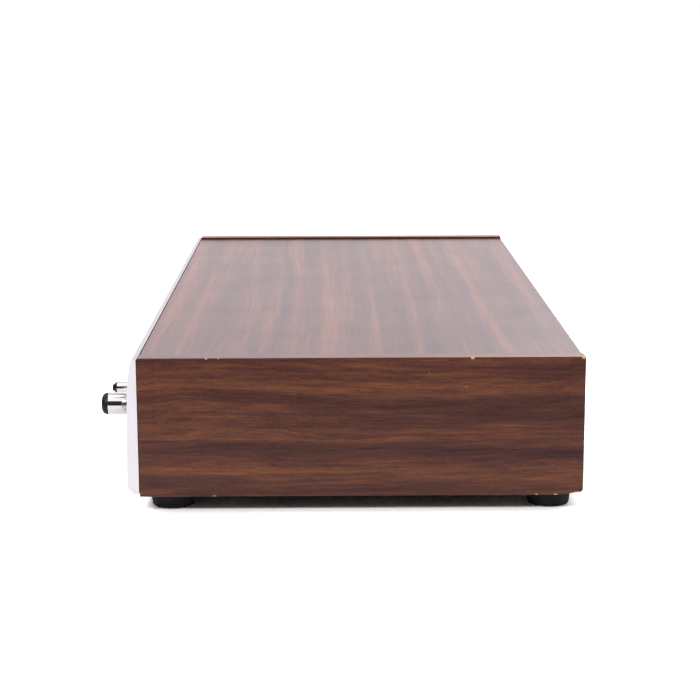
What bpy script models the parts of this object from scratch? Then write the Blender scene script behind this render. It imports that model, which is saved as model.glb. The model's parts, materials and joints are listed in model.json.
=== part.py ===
"""A long, low stereo receiver in a wood-grained cabinet, built from its separate pieces.

X runs along the width, to the right as seen from the front. The front faces -Y and +Z is up. The origin is at the
middle of the space that the whole receiver fills, at the level of the feet's undersides. All lengths are in metres.
"""

import math

import bmesh
import bpy

# Cabinet
CABINET_WIDTH = 0.460
CABINET_DEPTH = 0.232
CABINET_HEIGHT = 0.074
SIDE_BOARD = 0.010
TOP_BOARD = 0.010
TOP_DROP = 0.0015
TONGUE_REACH = 0.004
TONGUE_HEIGHT = 0.005

# Fits shared by all pieces
GAP = 0.0003
OVERRUN = 0.001
WELD = 0.000001
SHEET = 0.0012
SHARP_ANGLE = math.radians(30)
ROUND_STEPS = 24
SMALL_STEPS = 16

# Feet
FOOT_HEIGHT = 0.0105
FOOT_FLANGE_RADIUS = 0.0110
FOOT_TREAD_RADIUS = 0.0076
FOOT_STEP_HEIGHT = 0.0052
FOOT_EDGE = 0.0008
FOOT_FRONT_INSET = 0.0153
FOOT_SIDE_INSET = 0.0240

# Chassis
PAN_RECESS = 0.0004
PAN_FLANGE = 0.015
PAN_END_SETBACK = 0.0006
VENT_LENGTH = 0.040
VENT_WIDTH = 0.004
VENT_PITCH = 0.010
VENT_COUNT = 7
REAR_VENT_LENGTH = 0.016
REAR_VENT_DROP = 0.016
SUB_PANEL_DEPTH = 0.0132
SUB_PANEL_FLANGE = 0.0075
REAR_RECESS = 0.020
REAR_FOLD = 0.010

# Faceplate, as its profile seen from the end: distances in front of the cabinet and heights above its underside
FACE_BACK = GAP
FACE_FOOT = 0.0014
FACE_TOP_DROP = 0.0027
FACE_TOP_REACH = 0.0020
FACE_BEVEL_DROP = 0.0125
FACE_BEVEL_REACH = 0.00505
FACE_MIDDLE_HEIGHT = 0.0306
FACE_MIDDLE_REACH = 0.00625
FACE_FULL_HEIGHT = 0.0055
FACE_FULL_REACH = 0.0066
FACE_FOOT_REACH = 0.0035
FACE_END_INSET = 0.0003

# Dial
WINDOW_HEIGHT = 0.0215
WINDOW_ARM_SPACE = 0.0007
WINDOW_CORNER = 0.0020
DIAL_LEFT_INSET = 0.0860
DIAL_RIGHT_INSET = 0.1320
METER_INSET = 0.0280
METER_WIDTH = 0.0400
GLASS = 0.0020
GLASS_LAP = 0.0020
GLASS_PROUD = 0.0042
SCALE_SETBACK = 0.0070
SCALE_SHEET = 0.0010
SCALE_END_LAP = 0.0015
POINTER_WIDTH = 0.0010
POINTER_SETBACK = 0.0045
POINTER_NEEDLE = 0.0012
POINTER_ARM = 0.0022
POINTER_FOOT_SPACE = 0.0025
CARRIAGE_WIDTH = 0.0060
CARRIAGE_DEPTH = 0.0040
LAMP_RADIUS = 0.0030
LAMP_LENGTH = 0.0180
LAMP_SETBACK = 0.0070
LAMP_HOLDER_WIDTH = 0.0040
LAMP_SIDE_SPACE = 0.0080
METER_DEPTH = 0.0090
METER_WALL = 0.0010
METER_LAP = 0.0012
METER_FRONT = 0.0025
METER_PIVOT_RISE = 0.0040
METER_PIN_RADIUS = 0.0010
METER_HUB_RADIUS = 0.0024
METER_HUB_DEPTH = 0.0020
METER_NEEDLE_WIDTH = 0.0008
METER_NEEDLE_LENGTH = 0.0150
METER_REST_LEAN = math.radians(35)

# Tuning drive: pitch radii are those of the cord's own middle line
CORD_RADIUS = 0.0004
CORD_SETBACK = 0.0165
CORD_TURN_PITCH = 0.0011
CORD_ARC_STEP = math.radians(24)
SPINDLE_PITCH = 0.0030
SPINDLE_TURNS = 2
DRUM_PITCH = 0.0150
DRUM_TURNS = 1
PULLEY_PITCH = 0.0050
TUNING_INSET = 0.0559
DRUM_INSET = 0.1350
PULLEY_LEFT_INSET = 0.0900
PULLEY_RIGHT_INSET = 0.0650
CORD_DROP = 0.0029
DRUM_CORD_SPACE = 0.0041
RIM_RISE = 0.0009
RIM_WIDTH = 0.0040
RIM_WALL = 0.0006
RIM_DEPTH = 0.0022
WEB = 0.0014
DRUM_HUB_RADIUS = 0.0040
DRUM_SHAFT_RADIUS = 0.0020
DRUM_SHAFT_SETBACK = 0.0290
WEB_HOLE_RADIUS = 0.0030
WEB_HOLE_PLACE = 0.0080
WEB_HOLES = 3
PULLEY_PIN_RADIUS = 0.0015
PULLEY_PIN_LENGTH = 0.0065
GEAR_MODULE = 0.0008
PINION_TEETH = 9
GEAR_TEETH = 36
GEAR_ADDENDUM_SHARE = 0.80
GEAR_DEDENDUM_SHARE = 1.25
GEAR_BACKLASH = 0.00050
GEAR_PRESSURE = math.radians(20)
GEAR_FLANK_SHARE = 0.3
GEAR_SETBACK = 0.0220
GEAR_WIDTH = 0.0020
PINION_EXTRA = 0.0008

# Tuning capacitor
CAPACITOR_MARGIN = 0.0008
CAPACITOR_SETBACK = 0.0260
CAPACITOR_LENGTH = 0.0260
CAPACITOR_BACK_RISE = 0.0080
CAPACITOR_FRONT_RISE = 0.0060
ROTOR_RADIUS = 0.0130
ROTOR_SHAFT_RADIUS = 0.0025
ROTOR_SHAFT_END = 0.0010
PLATE = 0.0008
PLATE_PITCH = 0.0036
ROTOR_PLATES = 5
STATOR_DROP = 0.0008
STATOR_NOTCH = 0.0009
STATOR_POST_RADIUS = 0.0010
STATOR_POST_SPACE = 0.0003
STATOR_POST_DROP = 0.0028

# Tuning shaft and knob
TUNING_SHAFT_RADIUS = 0.0030
TUNING_SHAFT_FRONT = 0.0190
TUNING_SHAFT_SETBACK = 0.0400
SPINDLE_LENGTH = 0.0046
FLYWHEEL_RADIUS = 0.0150
FLYWHEEL_SETBACK = 0.0240
FLYWHEEL_LENGTH = 0.0110
FLYWHEEL_EDGE = 0.0010
BUSH_WALL = 0.0015
BUSH_SETBACK = 0.0050
BUSH_FLANGE_RADIUS = 0.0075
BUSH_FLANGE = 0.0012
KNOB_REACH = 0.0258
KNOB_RADIUS = 0.0061
KNOB_EDGE = 0.0012
KNOB_BORE_END = 0.0030
TUNING_SKIRT_RADIUS = 0.0110
TUNING_SKIRT = 0.0045
SKIRT_SPACE = 0.0008

# Lower row of controls
ROW_Z = 0.0270
SMALL_KNOB_REACH = 0.0180
SMALL_KNOB_RADIUS = 0.0060
SMALL_SKIRT_RADIUS = 0.0090
SMALL_SKIRT = 0.0030
SKIRT_EDGE = 0.0006
KNOB_NAMES = ("bass", "treble", "balance", "volume")
KNOB_INSET = 0.0700
KNOB_PITCH = 0.0410
POT_SHAFT_RADIUS = 0.0030
POT_SHAFT_SETBACK = 0.0190
POT_BUSH_RADIUS = 0.0045
POT_BUSH_LENGTH = 0.0060
POT_BODY_RADIUS = 0.0080
POT_BODY_LENGTH = 0.0090
POT_TAG_WIDTH = 0.0110
POT_TAG_HEIGHT = 0.0050
POT_TAG_SHEET = 0.0012
KEY_NAMES = ("phono", "fm", "am", "tape")
KEY_LAST_INSET = 0.1645
KEY_PITCH = 0.0190
KEY_WIDTH = 0.0150
KEY_HEIGHT = 0.0090
KEY_REACH = 0.0140
KEY_CAP_LENGTH = 0.0120
KEY_EDGE = 0.0008
KEY_STEM_WIDTH = 0.0040
KEY_STEM_HEIGHT = 0.0030
KEY_STEM_SETBACK = 0.0240
KEY_TRAVEL = 0.0045
KEY_BANK_HEIGHT = 0.0120
KEY_BANK_DEPTH = 0.0300
KEY_BANK_MARGIN = 0.0090
POWER_INSET = 0.0950
POWER_RADIUS = 0.00335
POWER_REACH = 0.0251
POWER_CHAMFER = 0.0024
POWER_CHAMFER_IN = 0.0014
POWER_STEM_RADIUS = 0.0020
POWER_STEM_SETBACK = 0.0250
POWER_TRAVEL = 0.0045
POWER_SWITCH_WIDTH = 0.0120
POWER_SWITCH_HEIGHT = 0.0110
POWER_SWITCH_SPACE = 0.0006
POWER_SWITCH_DEPTH = 0.0250
JACK_INSET = 0.0300
JACK_BORE_RADIUS = 0.0032
JACK_FERRULE_RADIUS = 0.0045
JACK_NUT_RADIUS = 0.0065
JACK_NUT = 0.0018
JACK_BODY = 0.0140
JACK_BODY_DEPTH = 0.0260
JACK_END_WALL = 0.0020

# Power supply and boards
TRANSFORMER_INSET = 0.0620
TRANSFORMER_PANEL_SPACE = 0.0440
CORE_WIDTH = 0.0660
CORE_HEIGHT = 0.0550
CORE_STACK = 0.0300
CORE_LEG = 0.0220
CORE_WINDOW_WIDTH = 0.0110
CORE_WINDOW_HEIGHT = 0.0330
CORE_LUG_REACH = 0.0080
CORE_LUG = 0.0030
CORE_CORNER = 0.0030
WINDING_BUILD = 0.0100
WINDING_CORNER = 0.0040
SUPPLY_CAN_RADIUS = 0.0125
SUPPLY_CAN_HEIGHT = 0.0450
SUPPLY_CAN_INSET = 0.1250
SUPPLY_CAN_PANEL_SPACE = 0.0185
SUPPLY_CAN_PITCH = 0.0320
SUPPLY_CAN_EDGE = 0.0012
SUPPLY_CAN_GROOVE = 0.0008
SUPPLY_CAN_GROOVE_DROP = 0.0050
BOARD_WIDTH = 0.1500
BOARD_DEPTH = 0.1100
BOARD = 0.0016
BOARD_OFFSET = 0.0050
BOARD_PANEL_SPACE = 0.0190
BOARD_RISE = 0.0060
BOARD_POST_RADIUS = 0.0030
BOARD_POST_INSET = 0.0060
TUNED_CAN_SIDE = 0.0100
TUNED_CAN_HEIGHT = 0.0130
TUNED_CAN_PITCH = 0.0200
TUNED_CANS = 4
CAPACITOR_RADIUS = 0.0040
CAPACITOR_HEIGHT = 0.0110
CAPACITOR_PITCH = 0.0150
CAPACITOR_ROW_INSET = 0.0160
CAPACITORS = 7
CHIP_WIDTH = 0.0190
CHIP_DEPTH = 0.0070
CHIP_HEIGHT = 0.0040
CHIP_PITCH = 0.0340
CHIP_ROW_INSET = 0.0300
CHIPS = 3
AMPLIFIER_WIDTH = 0.0900
AMPLIFIER_DEPTH = 0.0500
AMPLIFIER_PANEL_SPACE = 0.0130
TRANSISTOR_WIDTH = 0.0150
TRANSISTOR_HEIGHT = 0.0200
TRANSISTOR_DEPTH = 0.0050
TRANSISTOR_PITCH = 0.0220
TRANSISTOR_LEG = 0.0020
TRANSISTORS = 4

# Rear fittings
SINK_INSET = 0.0730
SINK_WIDTH = 0.1000
SINK_HEIGHT = 0.0440
SINK_BASE = 0.0030
SINK_FIN = 0.0020
SINK_FIN_REACH = 0.0120
SINK_FINS = 9
REAR_FITTING_RISE = 0.0230
REAR_FITTING_SPACE = 0.0052
SOCKET_ROWS = 2
SOCKET_COLUMNS = 4
SOCKET_PITCH = 0.0160
SOCKET_RADIUS = 0.0041
SOCKET_BORE_RADIUS = 0.0017
SOCKET_REACH = 0.0090
SOCKET_PLATE = 0.0020
SOCKET_MARGIN = 0.0080
STRIP_PITCH = 0.0120
STRIP_HEIGHT = 0.0160
STRIP_BASE = 0.0050
STRIP_WALL = 0.0016
STRIP_WALL_REACH = 0.0050
STRIP_SCREW_RADIUS = 0.0032
STRIP_SCREW_REACH = 0.0025
SPEAKER_INSET = 0.1250
SPEAKER_SCREWS = 8
AERIAL_INSET = 0.1580
AERIAL_SCREWS = 4
ROD_PIVOT_INSET = 0.1350
ROD_DROP = 0.0115
ROD_SETOUT = 0.0095
ROD_RADIUS = 0.0045
ROD_LENGTH = 0.1150
ROD_BLOCK = 0.0100
ROD_PIN_RADIUS = 0.0015
ROD_EAR = 0.0015
ROD_BRACKET_WIDTH = 0.0090
GLAND_INSET = 0.0300
GLAND_RISE = 0.0130
GLAND_BORE_RADIUS = 0.0035
GLAND_NECK_RADIUS = 0.0055
GLAND_FLANGE_RADIUS = 0.0085
GLAND_FLANGE = 0.0030

# Places worked out from the sizes above
LEFT = -CABINET_WIDTH / 2
RIGHT = CABINET_WIDTH / 2
FRONT = -(CABINET_DEPTH + KNOB_REACH) / 2 + KNOB_REACH
REAR = FRONT + CABINET_DEPTH
CABINET_TOP = FOOT_HEIGHT + CABINET_HEIGHT
INNER_HALF = CABINET_WIDTH / 2 - SIDE_BOARD
PAN_UNDERSIDE = FOOT_HEIGHT + PAN_RECESS
FLOOR = PAN_UNDERSIDE + SHEET
SEAT = FLOOR + GAP
CEILING = CABINET_TOP - TOP_DROP - TOP_BOARD
SUB_BACK = FRONT + SUB_PANEL_DEPTH
PANEL_BACK = REAR - REAR_RECESS
PANEL_FRONT = PANEL_BACK - SHEET

CONTROL_Z = FOOT_HEIGHT + CABINET_HEIGHT / 2
FACE_TOP = CABINET_HEIGHT - FACE_TOP_DROP
FACE_BEVEL_HEIGHT = CABINET_HEIGHT - FACE_BEVEL_DROP
TUNING_X = RIGHT - TUNING_INSET
POWER_X = RIGHT - POWER_INSET
JACK_X = LEFT + JACK_INSET
KNOB_PLACES = {name: LEFT + KNOB_INSET + KNOB_PITCH * index for index, name in enumerate(KNOB_NAMES)}
KEY_X = [RIGHT - KEY_LAST_INSET - KEY_PITCH * index for index in reversed(range(len(KEY_NAMES)))]

CORD_CLEARANCE = CORD_RADIUS + GAP
CORD_Y = FRONT + CORD_SETBACK
CORD_TOP_Z = CEILING - CORD_DROP
CARRIAGE_TOP = CORD_TOP_Z - CORD_CLEARANCE
PULLEY_LEFT_X = LEFT + PULLEY_LEFT_INSET
PULLEY_RIGHT_X = RIGHT - PULLEY_RIGHT_INSET
PULLEY_Z = CORD_TOP_Z - PULLEY_PITCH
DRUM_X = RIGHT - DRUM_INSET
DRUM_Z = CORD_TOP_Z - DRUM_CORD_SPACE - DRUM_PITCH
GEAR_RADIUS = GEAR_MODULE * GEAR_TEETH / 2
PINION_RADIUS = GEAR_MODULE * PINION_TEETH / 2
ROTOR_Z = DRUM_Z - GEAR_RADIUS - PINION_RADIUS
STATOR_POST_PLACE = ROTOR_RADIUS + STATOR_POST_SPACE + STATOR_POST_RADIUS
STATOR_HALF_WIDTH = STATOR_POST_PLACE + STATOR_POST_RADIUS
CAPACITOR_WIDTH = 2 * (STATOR_HALF_WIDTH + CAPACITOR_MARGIN)

WINDOW_TOP = CARRIAGE_TOP - POINTER_ARM - WINDOW_ARM_SPACE
WINDOW_BOTTOM = WINDOW_TOP - WINDOW_HEIGHT
WINDOW_MIDDLE = (WINDOW_BOTTOM + WINDOW_TOP) / 2
DIAL_LEFT = LEFT + DIAL_LEFT_INSET
DIAL_RIGHT = RIGHT - DIAL_RIGHT_INSET
POINTER_X = (DIAL_LEFT + DIAL_RIGHT) / 2
METER_LEFT = LEFT + METER_INSET
METER_RIGHT = METER_LEFT + METER_WIDTH
METER_MIDDLE = (METER_LEFT + METER_RIGHT) / 2

TRANSFORMER_X = LEFT + TRANSFORMER_INSET
TRANSFORMER_Y = PANEL_FRONT - TRANSFORMER_PANEL_SPACE - WINDING_BUILD - CORE_STACK / 2
SUPPLY_CAN_X = LEFT + SUPPLY_CAN_INSET
SUPPLY_CAN_Y = PANEL_FRONT - SUPPLY_CAN_PANEL_SPACE - SUPPLY_CAN_RADIUS
BOARD_X = BOARD_OFFSET
BOARD_Y = PANEL_FRONT - BOARD_PANEL_SPACE - BOARD_DEPTH / 2
REAR_FITTING_Z = FLOOR + REAR_FITTING_RISE
SINK_X = RIGHT - SINK_INSET
SPEAKER_X = LEFT + SPEAKER_INSET
AERIAL_X = RIGHT - AERIAL_INSET
SOCKET_HALF_WIDTH = SOCKET_PITCH * (SOCKET_COLUMNS - 1) / 2 + SOCKET_MARGIN
SOCKET_X = AERIAL_X - (STRIP_PITCH * AERIAL_SCREWS + STRIP_WALL) / 2 - REAR_FITTING_SPACE - SOCKET_HALF_WIDTH
ROD_PIVOT_X = RIGHT - ROD_PIVOT_INSET
ROD_Z = CEILING - ROD_DROP
GLAND_X = LEFT + GLAND_INSET
GLAND_Z = FLOOR + GLAND_RISE

# The way a piece faces: the turn that points its own Z along the named direction
UP = (0, 0, 0)
TO_FRONT = (math.radians(90), 0, 0)
TO_REAR = (math.radians(-90), 0, 0)
TO_RIGHT = (math.radians(90), 0, math.radians(90))


def clear_scene():
    for item in list(bpy.data.objects):
        bpy.data.objects.remove(item)


def new_collection(name):
    collection = bpy.data.collections.new(name)
    bpy.context.scene.collection.children.link(collection)
    return collection


clear_scene()
PARTS = new_collection("stereo_receiver")
CUTTERS = new_collection("cutters")


# Materials


def material(name, colour, roughness, metallic=0):
    item = bpy.data.materials.new(name)
    item.use_nodes = True
    shader = item.node_tree.nodes["Principled BSDF"]
    shader.inputs["Base Color"].default_value = (*colour, 1)
    shader.inputs["Roughness"].default_value = roughness
    shader.inputs["Metallic"].default_value = metallic
    return item


WALNUT = material("walnut_grain", (0.115, 0.046, 0.036), 0.45)
ALUMINIUM = material("brushed_aluminium", (0.80, 0.79, 0.80), 0.32, 1)
CHROME = material("chrome", (0.85, 0.85, 0.86), 0.12, 1)
STEEL = material("zinc_plated_steel", (0.56, 0.55, 0.50), 0.42, 1)
BRASS = material("brass", (0.71, 0.55, 0.27), 0.35, 1)
BLACK = material("black_plastic", (0.02, 0.02, 0.02), 0.5)
DARK_METAL = material("black_anodised", (0.03, 0.03, 0.032), 0.45, 1)
RUBBER = material("black_rubber", (0.015, 0.015, 0.015), 0.8)
SMOKE = material("smoked_acrylic", (0.05, 0.055, 0.06), 0.08)
CARD = material("dial_card", (0.02, 0.022, 0.025), 0.6)
RED = material("pointer_red", (0.75, 0.12, 0.05), 0.5)
WHITE = material("white_enamel", (0.85, 0.84, 0.80), 0.5)
GREEN_BOARD = material("circuit_board", (0.16, 0.20, 0.07), 0.6)
COPPER = material("winding_wrap", (0.55, 0.38, 0.10), 0.55)
LAMINATION = material("lamination_steel", (0.12, 0.12, 0.13), 0.55, 1)
LAMP = material("lamp_glass", (0.9, 0.85, 0.7), 0.15)
CORD = material("dial_cord", (0.25, 0.22, 0.17), 0.8)
FERRITE = material("ferrite_rod_cover", (0.03, 0.03, 0.03), 0.4)
PHENOLIC = material("phenolic", (0.10, 0.05, 0.03), 0.5)


# Shape helpers


def keep(item, name, paint):
    """File a finished piece under its name."""
    item.name = name
    item.data.name = name
    item.data.materials.clear()
    item.data.materials.append(paint)
    for collection in list(item.users_collection):
        collection.objects.unlink(item)
    PARTS.objects.link(item)
    shading = item.modifiers.new("shading", "WEIGHTED_NORMAL")
    shading.keep_sharp = True
    return item


def as_cutter(item):
    """File a shape that only cuts or joins another."""
    for collection in list(item.users_collection):
        collection.objects.unlink(item)
    CUTTERS.objects.link(item)
    item.hide_render = True
    item.display_type = "WIRE"
    return item


def combine(item, other, operation):
    step = item.modifiers.new(operation.lower(), "BOOLEAN")
    step.operation = operation
    step.solver = "EXACT"
    step.object = as_cutter(other)
    return item


def cut(item, other):
    return combine(item, other, "DIFFERENCE")


def join(item, other):
    return combine(item, other, "UNION")


def as_mesh(source):
    """Replace a curve or a turned profile by the welded mesh of its own evaluated shape."""
    bpy.context.view_layer.update()
    graph = bpy.context.evaluated_depsgraph_get()
    mesh = bpy.data.meshes.new_from_object(source.evaluated_get(graph))
    shape = bmesh.new()
    shape.from_mesh(mesh)
    bmesh.ops.remove_doubles(shape, verts=shape.verts, dist=WELD)
    shape.to_mesh(mesh)
    shape.free()
    mesh.shade_smooth()
    mesh.set_sharp_from_angle(angle=SHARP_ANGLE)
    item = bpy.data.objects.new("shape", mesh)
    item.matrix_world = source.matrix_world.copy()
    bpy.context.scene.collection.objects.link(item)
    bpy.data.objects.remove(source)
    return item


def block(low, high, origin=None):
    """A box between two corners, with its origin at its middle or at a given point."""
    bpy.ops.mesh.primitive_cube_add(size=1)
    item = bpy.context.object
    middle = [(a + b) / 2 for a, b in zip(low, high)]
    origin = origin or middle
    for corner in item.data.vertices:
        for axis in range(3):
            reach = (high[axis] - low[axis]) * corner.co[axis]
            corner.co[axis] = middle[axis] + reach - origin[axis]
    item.location = origin
    return item


def rod(radius, length, place, facing, steps=SMALL_STEPS):
    """A plain cylinder that runs from its place along the way it faces."""
    return turned([(0, length), (radius, length), (radius, 0), (0, 0)], place, facing, steps)


def turned(profile, place, facing, steps=ROUND_STEPS, closed=False):
    """Turn a profile of (radius, distance along the axis) pairs. A closed one leaves a bore."""
    mesh = bpy.data.meshes.new("profile")
    shape = bmesh.new()
    points = [shape.verts.new((radius, 0, along)) for radius, along in profile]
    for first, second in zip(points, points[1:]):
        shape.edges.new((first, second))
    if closed:
        shape.edges.new((points[-1], points[0]))
    shape.to_mesh(mesh)
    shape.free()
    item = bpy.data.objects.new("profile", mesh)
    item.location = place
    item.rotation_euler = facing
    bpy.context.scene.collection.objects.link(item)
    screw = item.modifiers.new("turn", "SCREW")
    screw.steps = steps
    screw.render_steps = steps
    screw.use_merge_vertices = True
    screw.merge_threshold = WELD
    return as_mesh(item)


def plate(outlines, thickness, place, facing):
    """Flat outlines, holes inside them included, with a thickness centred on their place."""
    drawing = bpy.data.curves.new("outline", "CURVE")
    drawing.dimensions = "2D"
    drawing.fill_mode = "BOTH"
    drawing.extrude = thickness / 2
    for outline in outlines:
        spline = drawing.splines.new("POLY")
        spline.points.add(len(outline) - 1)
        spline.use_cyclic_u = True
        for point, (across, up) in zip(spline.points, outline):
            point.co = (across, up, 0, 1)
    item = bpy.data.objects.new("outline", drawing)
    item.location = place
    item.rotation_euler = facing
    bpy.context.scene.collection.objects.link(item)
    return as_mesh(item)


def circle(radius, across=0, up=0, count=SMALL_STEPS):
    angles = [2 * math.pi * index / count for index in range(count)]
    return [(across + radius * math.cos(angle), up + radius * math.sin(angle)) for angle in angles]


def rectangle(low_across, high_across, low_up, high_up):
    return [(low_across, low_up), (high_across, low_up), (high_across, high_up), (low_across, high_up)]


def rounded(low_across, high_across, low_up, high_up, radius, count=4):
    """A rectangle with round corners of count chords each."""
    corners = [
        (high_across - radius, high_up - radius, 0),
        (low_across + radius, high_up - radius, 1),
        (low_across + radius, low_up + radius, 2),
        (high_across - radius, low_up + radius, 3),
    ]
    points = []
    for across, up, quarter in corners:
        for index in range(count + 1):
            angle = math.pi / 2 * (quarter + index / count)
            points.append((across + radius * math.cos(angle), up + radius * math.sin(angle)))
    return points


def centred(width, height, across=0, up=0):
    return rectangle(across - width / 2, across + width / 2, up - height / 2, up + height / 2)


def soften(item, width, segments=1):
    bevel = item.modifiers.new("edges", "BEVEL")
    bevel.width = width
    bevel.segments = segments
    bevel.limit_method = "ANGLE"
    return item


# Cabinet


def side_board(name, side):
    """A side board with the groove that takes the top board's tongue."""
    outer = side * SIDE_BOARD
    groove = side * TONGUE_REACH
    tongue = CABINET_HEIGHT - TOP_DROP - TOP_BOARD / 2
    low = tongue - TONGUE_HEIGHT / 2
    high = tongue + TONGUE_HEIGHT / 2
    outline = [
        (0, 0), (outer, 0), (outer, CABINET_HEIGHT), (0, CABINET_HEIGHT),
        (0, high), (groove, high), (groove, low), (0, low),
    ]
    place = (side * INNER_HALF, (FRONT + REAR) / 2, FOOT_HEIGHT)
    return keep(plate([outline], CABINET_DEPTH, place, TO_FRONT), name, WALNUT)


def top_board():
    """The top board, sunk a little below the sides and tongued into them."""
    edge = INNER_HALF - GAP
    tip = INNER_HALF + TONGUE_REACH - GAP
    low = TOP_BOARD / 2 - TONGUE_HEIGHT / 2 + GAP
    high = TOP_BOARD / 2 + TONGUE_HEIGHT / 2 - GAP
    right = [(edge, 0), (edge, low), (tip, low), (tip, high), (edge, high), (edge, TOP_BOARD)]
    left = [(-across, up) for across, up in reversed(right)]
    place = (0, (FRONT + REAR) / 2, CEILING)
    return keep(plate([right + left], CABINET_DEPTH, place, TO_FRONT), "cabinet_top", WALNUT)


def foot(name, side, end):
    """A stepped rubber foot."""
    height = PAN_UNDERSIDE - GAP
    profile = [
        (0, height), (FOOT_FLANGE_RADIUS, height), (FOOT_FLANGE_RADIUS, FOOT_STEP_HEIGHT),
        (FOOT_TREAD_RADIUS + FOOT_EDGE, FOOT_STEP_HEIGHT), (FOOT_TREAD_RADIUS, FOOT_EDGE),
        (FOOT_TREAD_RADIUS - FOOT_EDGE, 0), (0, 0),
    ]
    across = side * (CABINET_WIDTH / 2 - FOOT_SIDE_INSET)
    along = end * (CABINET_DEPTH / 2 - FOOT_FRONT_INSET) + (FRONT + REAR) / 2
    return keep(turned(profile, (across, along, 0), UP, 16), name, RUBBER)


def cabinet():
    side_board("cabinet_side_left", -1)
    side_board("cabinet_side_right", 1)
    top_board()
    for side, side_name in ((-1, "left"), (1, "right")):
        for end, end_name in ((-1, "front"), (1, "rear")):
            foot(f"foot_{end_name}_{side_name}", side, end)


# Chassis


def vent_row(middle_x, middle_y, length=VENT_LENGTH):
    """Outlines of a row of rounded vent slots beside each other."""
    slots = []
    for index in range(VENT_COUNT):
        across = middle_x + VENT_PITCH * (index - (VENT_COUNT - 1) / 2)
        slots.append(rounded(
            across - VENT_WIDTH / 2, across + VENT_WIDTH / 2,
            middle_y - length / 2, middle_y + length / 2, VENT_WIDTH / 2, 2))
    return slots


def chassis_pan():
    """The floor, folded up along both sides, with vents under the transformer and the output stage."""
    outer = INNER_HALF - GAP
    inner = outer - SHEET
    right = [(outer, 0), (outer, PAN_FLANGE), (inner, PAN_FLANGE), (inner, SHEET)]
    left = [(-across, up) for across, up in reversed(right)]
    depth = CABINET_DEPTH - 2 * PAN_END_SETBACK
    pan = plate([right + left], depth, (0, (FRONT + REAR) / 2, PAN_UNDERSIDE), TO_FRONT)
    slots = vent_row(TRANSFORMER_X, TRANSFORMER_Y) + vent_row(SINK_X, TRANSFORMER_Y)
    cut(pan, plate(slots, SHEET + 2 * OVERRUN, (0, 0, PAN_UNDERSIDE + SHEET / 2), UP))
    return keep(pan, "chassis_pan", STEEL)


def sub_panel():
    """The shallow folded tray behind the faceplate that carries every control."""
    half = INNER_HALF - 2 * GAP - SHEET
    tray = block((-half, SUB_BACK - SUB_PANEL_FLANGE, SEAT), (half, SUB_BACK, CEILING - GAP))
    shape = bmesh.new()
    shape.from_mesh(tray.data)
    front = [face for face in shape.faces if face.normal.y < -0.5]
    bmesh.ops.delete(shape, geom=front, context="FACES")
    shape.to_mesh(tray.data)
    shape.free()
    wall = tray.modifiers.new("sheet", "SOLIDIFY")
    wall.thickness = SHEET
    wall.offset = -1
    holes = [circle(POT_BUSH_RADIUS + GAP, across, ROW_Z, 12) for across in KNOB_PLACES.values()]
    holes += [centred(KEY_STEM_WIDTH + 2 * GAP, KEY_STEM_HEIGHT + 2 * GAP, across, ROW_Z) for across in KEY_X]
    holes.append(circle(TUNING_SHAFT_RADIUS + GAP + BUSH_WALL + GAP, TUNING_X, CONTROL_Z))
    holes.append(circle(POWER_STEM_RADIUS + GAP, POWER_X, CONTROL_Z))
    holes.append(centred(JACK_BODY + 2 * GAP, JACK_BODY + 2 * GAP, JACK_X, ROW_Z))
    slot_half = pointer_travel() / 2 + POINTER_WIDTH
    low = CARRIAGE_TOP - POINTER_ARM - GAP
    holes.append(rectangle(POINTER_X - slot_half, POINTER_X + slot_half, low, CARRIAGE_TOP + GAP))
    cut(tray, plate(holes, SHEET + 2 * OVERRUN, (0, SUB_BACK - SHEET / 2, 0), TO_FRONT))
    for across in (PULLEY_LEFT_X, PULLEY_RIGHT_X):
        start = (across, SUB_BACK - SHEET / 2, PULLEY_Z)
        join(tray, rod(PULLEY_PIN_RADIUS, PULLEY_PIN_LENGTH + SHEET / 2, start, TO_REAR, 12))
    return keep(tray, "sub_panel", STEEL)


def rear_panel():
    """The rear panel with its folded foot, the gland's hole and a row of vents above the speaker terminals."""
    half = INNER_HALF - 2 * GAP - SHEET
    fold = [
        (-SHEET - REAR_FOLD, 0), (0, 0), (0, CEILING - GAP - SEAT),
        (-SHEET, CEILING - GAP - SEAT), (-SHEET, SHEET), (-SHEET - REAR_FOLD, SHEET),
    ]
    panel = plate([fold], 2 * half, (0, PANEL_BACK, SEAT), TO_RIGHT)
    holes = [circle(GLAND_NECK_RADIUS + GAP, GLAND_X, GLAND_Z)]
    holes += vent_row(SPEAKER_X, CEILING - REAR_VENT_DROP, REAR_VENT_LENGTH)
    cut(panel, plate(holes, SHEET + 2 * OVERRUN, (0, PANEL_BACK - SHEET / 2, 0), TO_FRONT))
    return keep(panel, "rear_panel", STEEL)


# Faceplate and dial


def face_reach(height):
    """How far the faceplate stands in front of the cabinet at a height above the cabinet's underside."""
    share = (height - FACE_FULL_HEIGHT) / (FACE_MIDDLE_HEIGHT - FACE_FULL_HEIGHT)
    return FACE_FULL_REACH + (FACE_MIDDLE_REACH - FACE_FULL_REACH) * share


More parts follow.
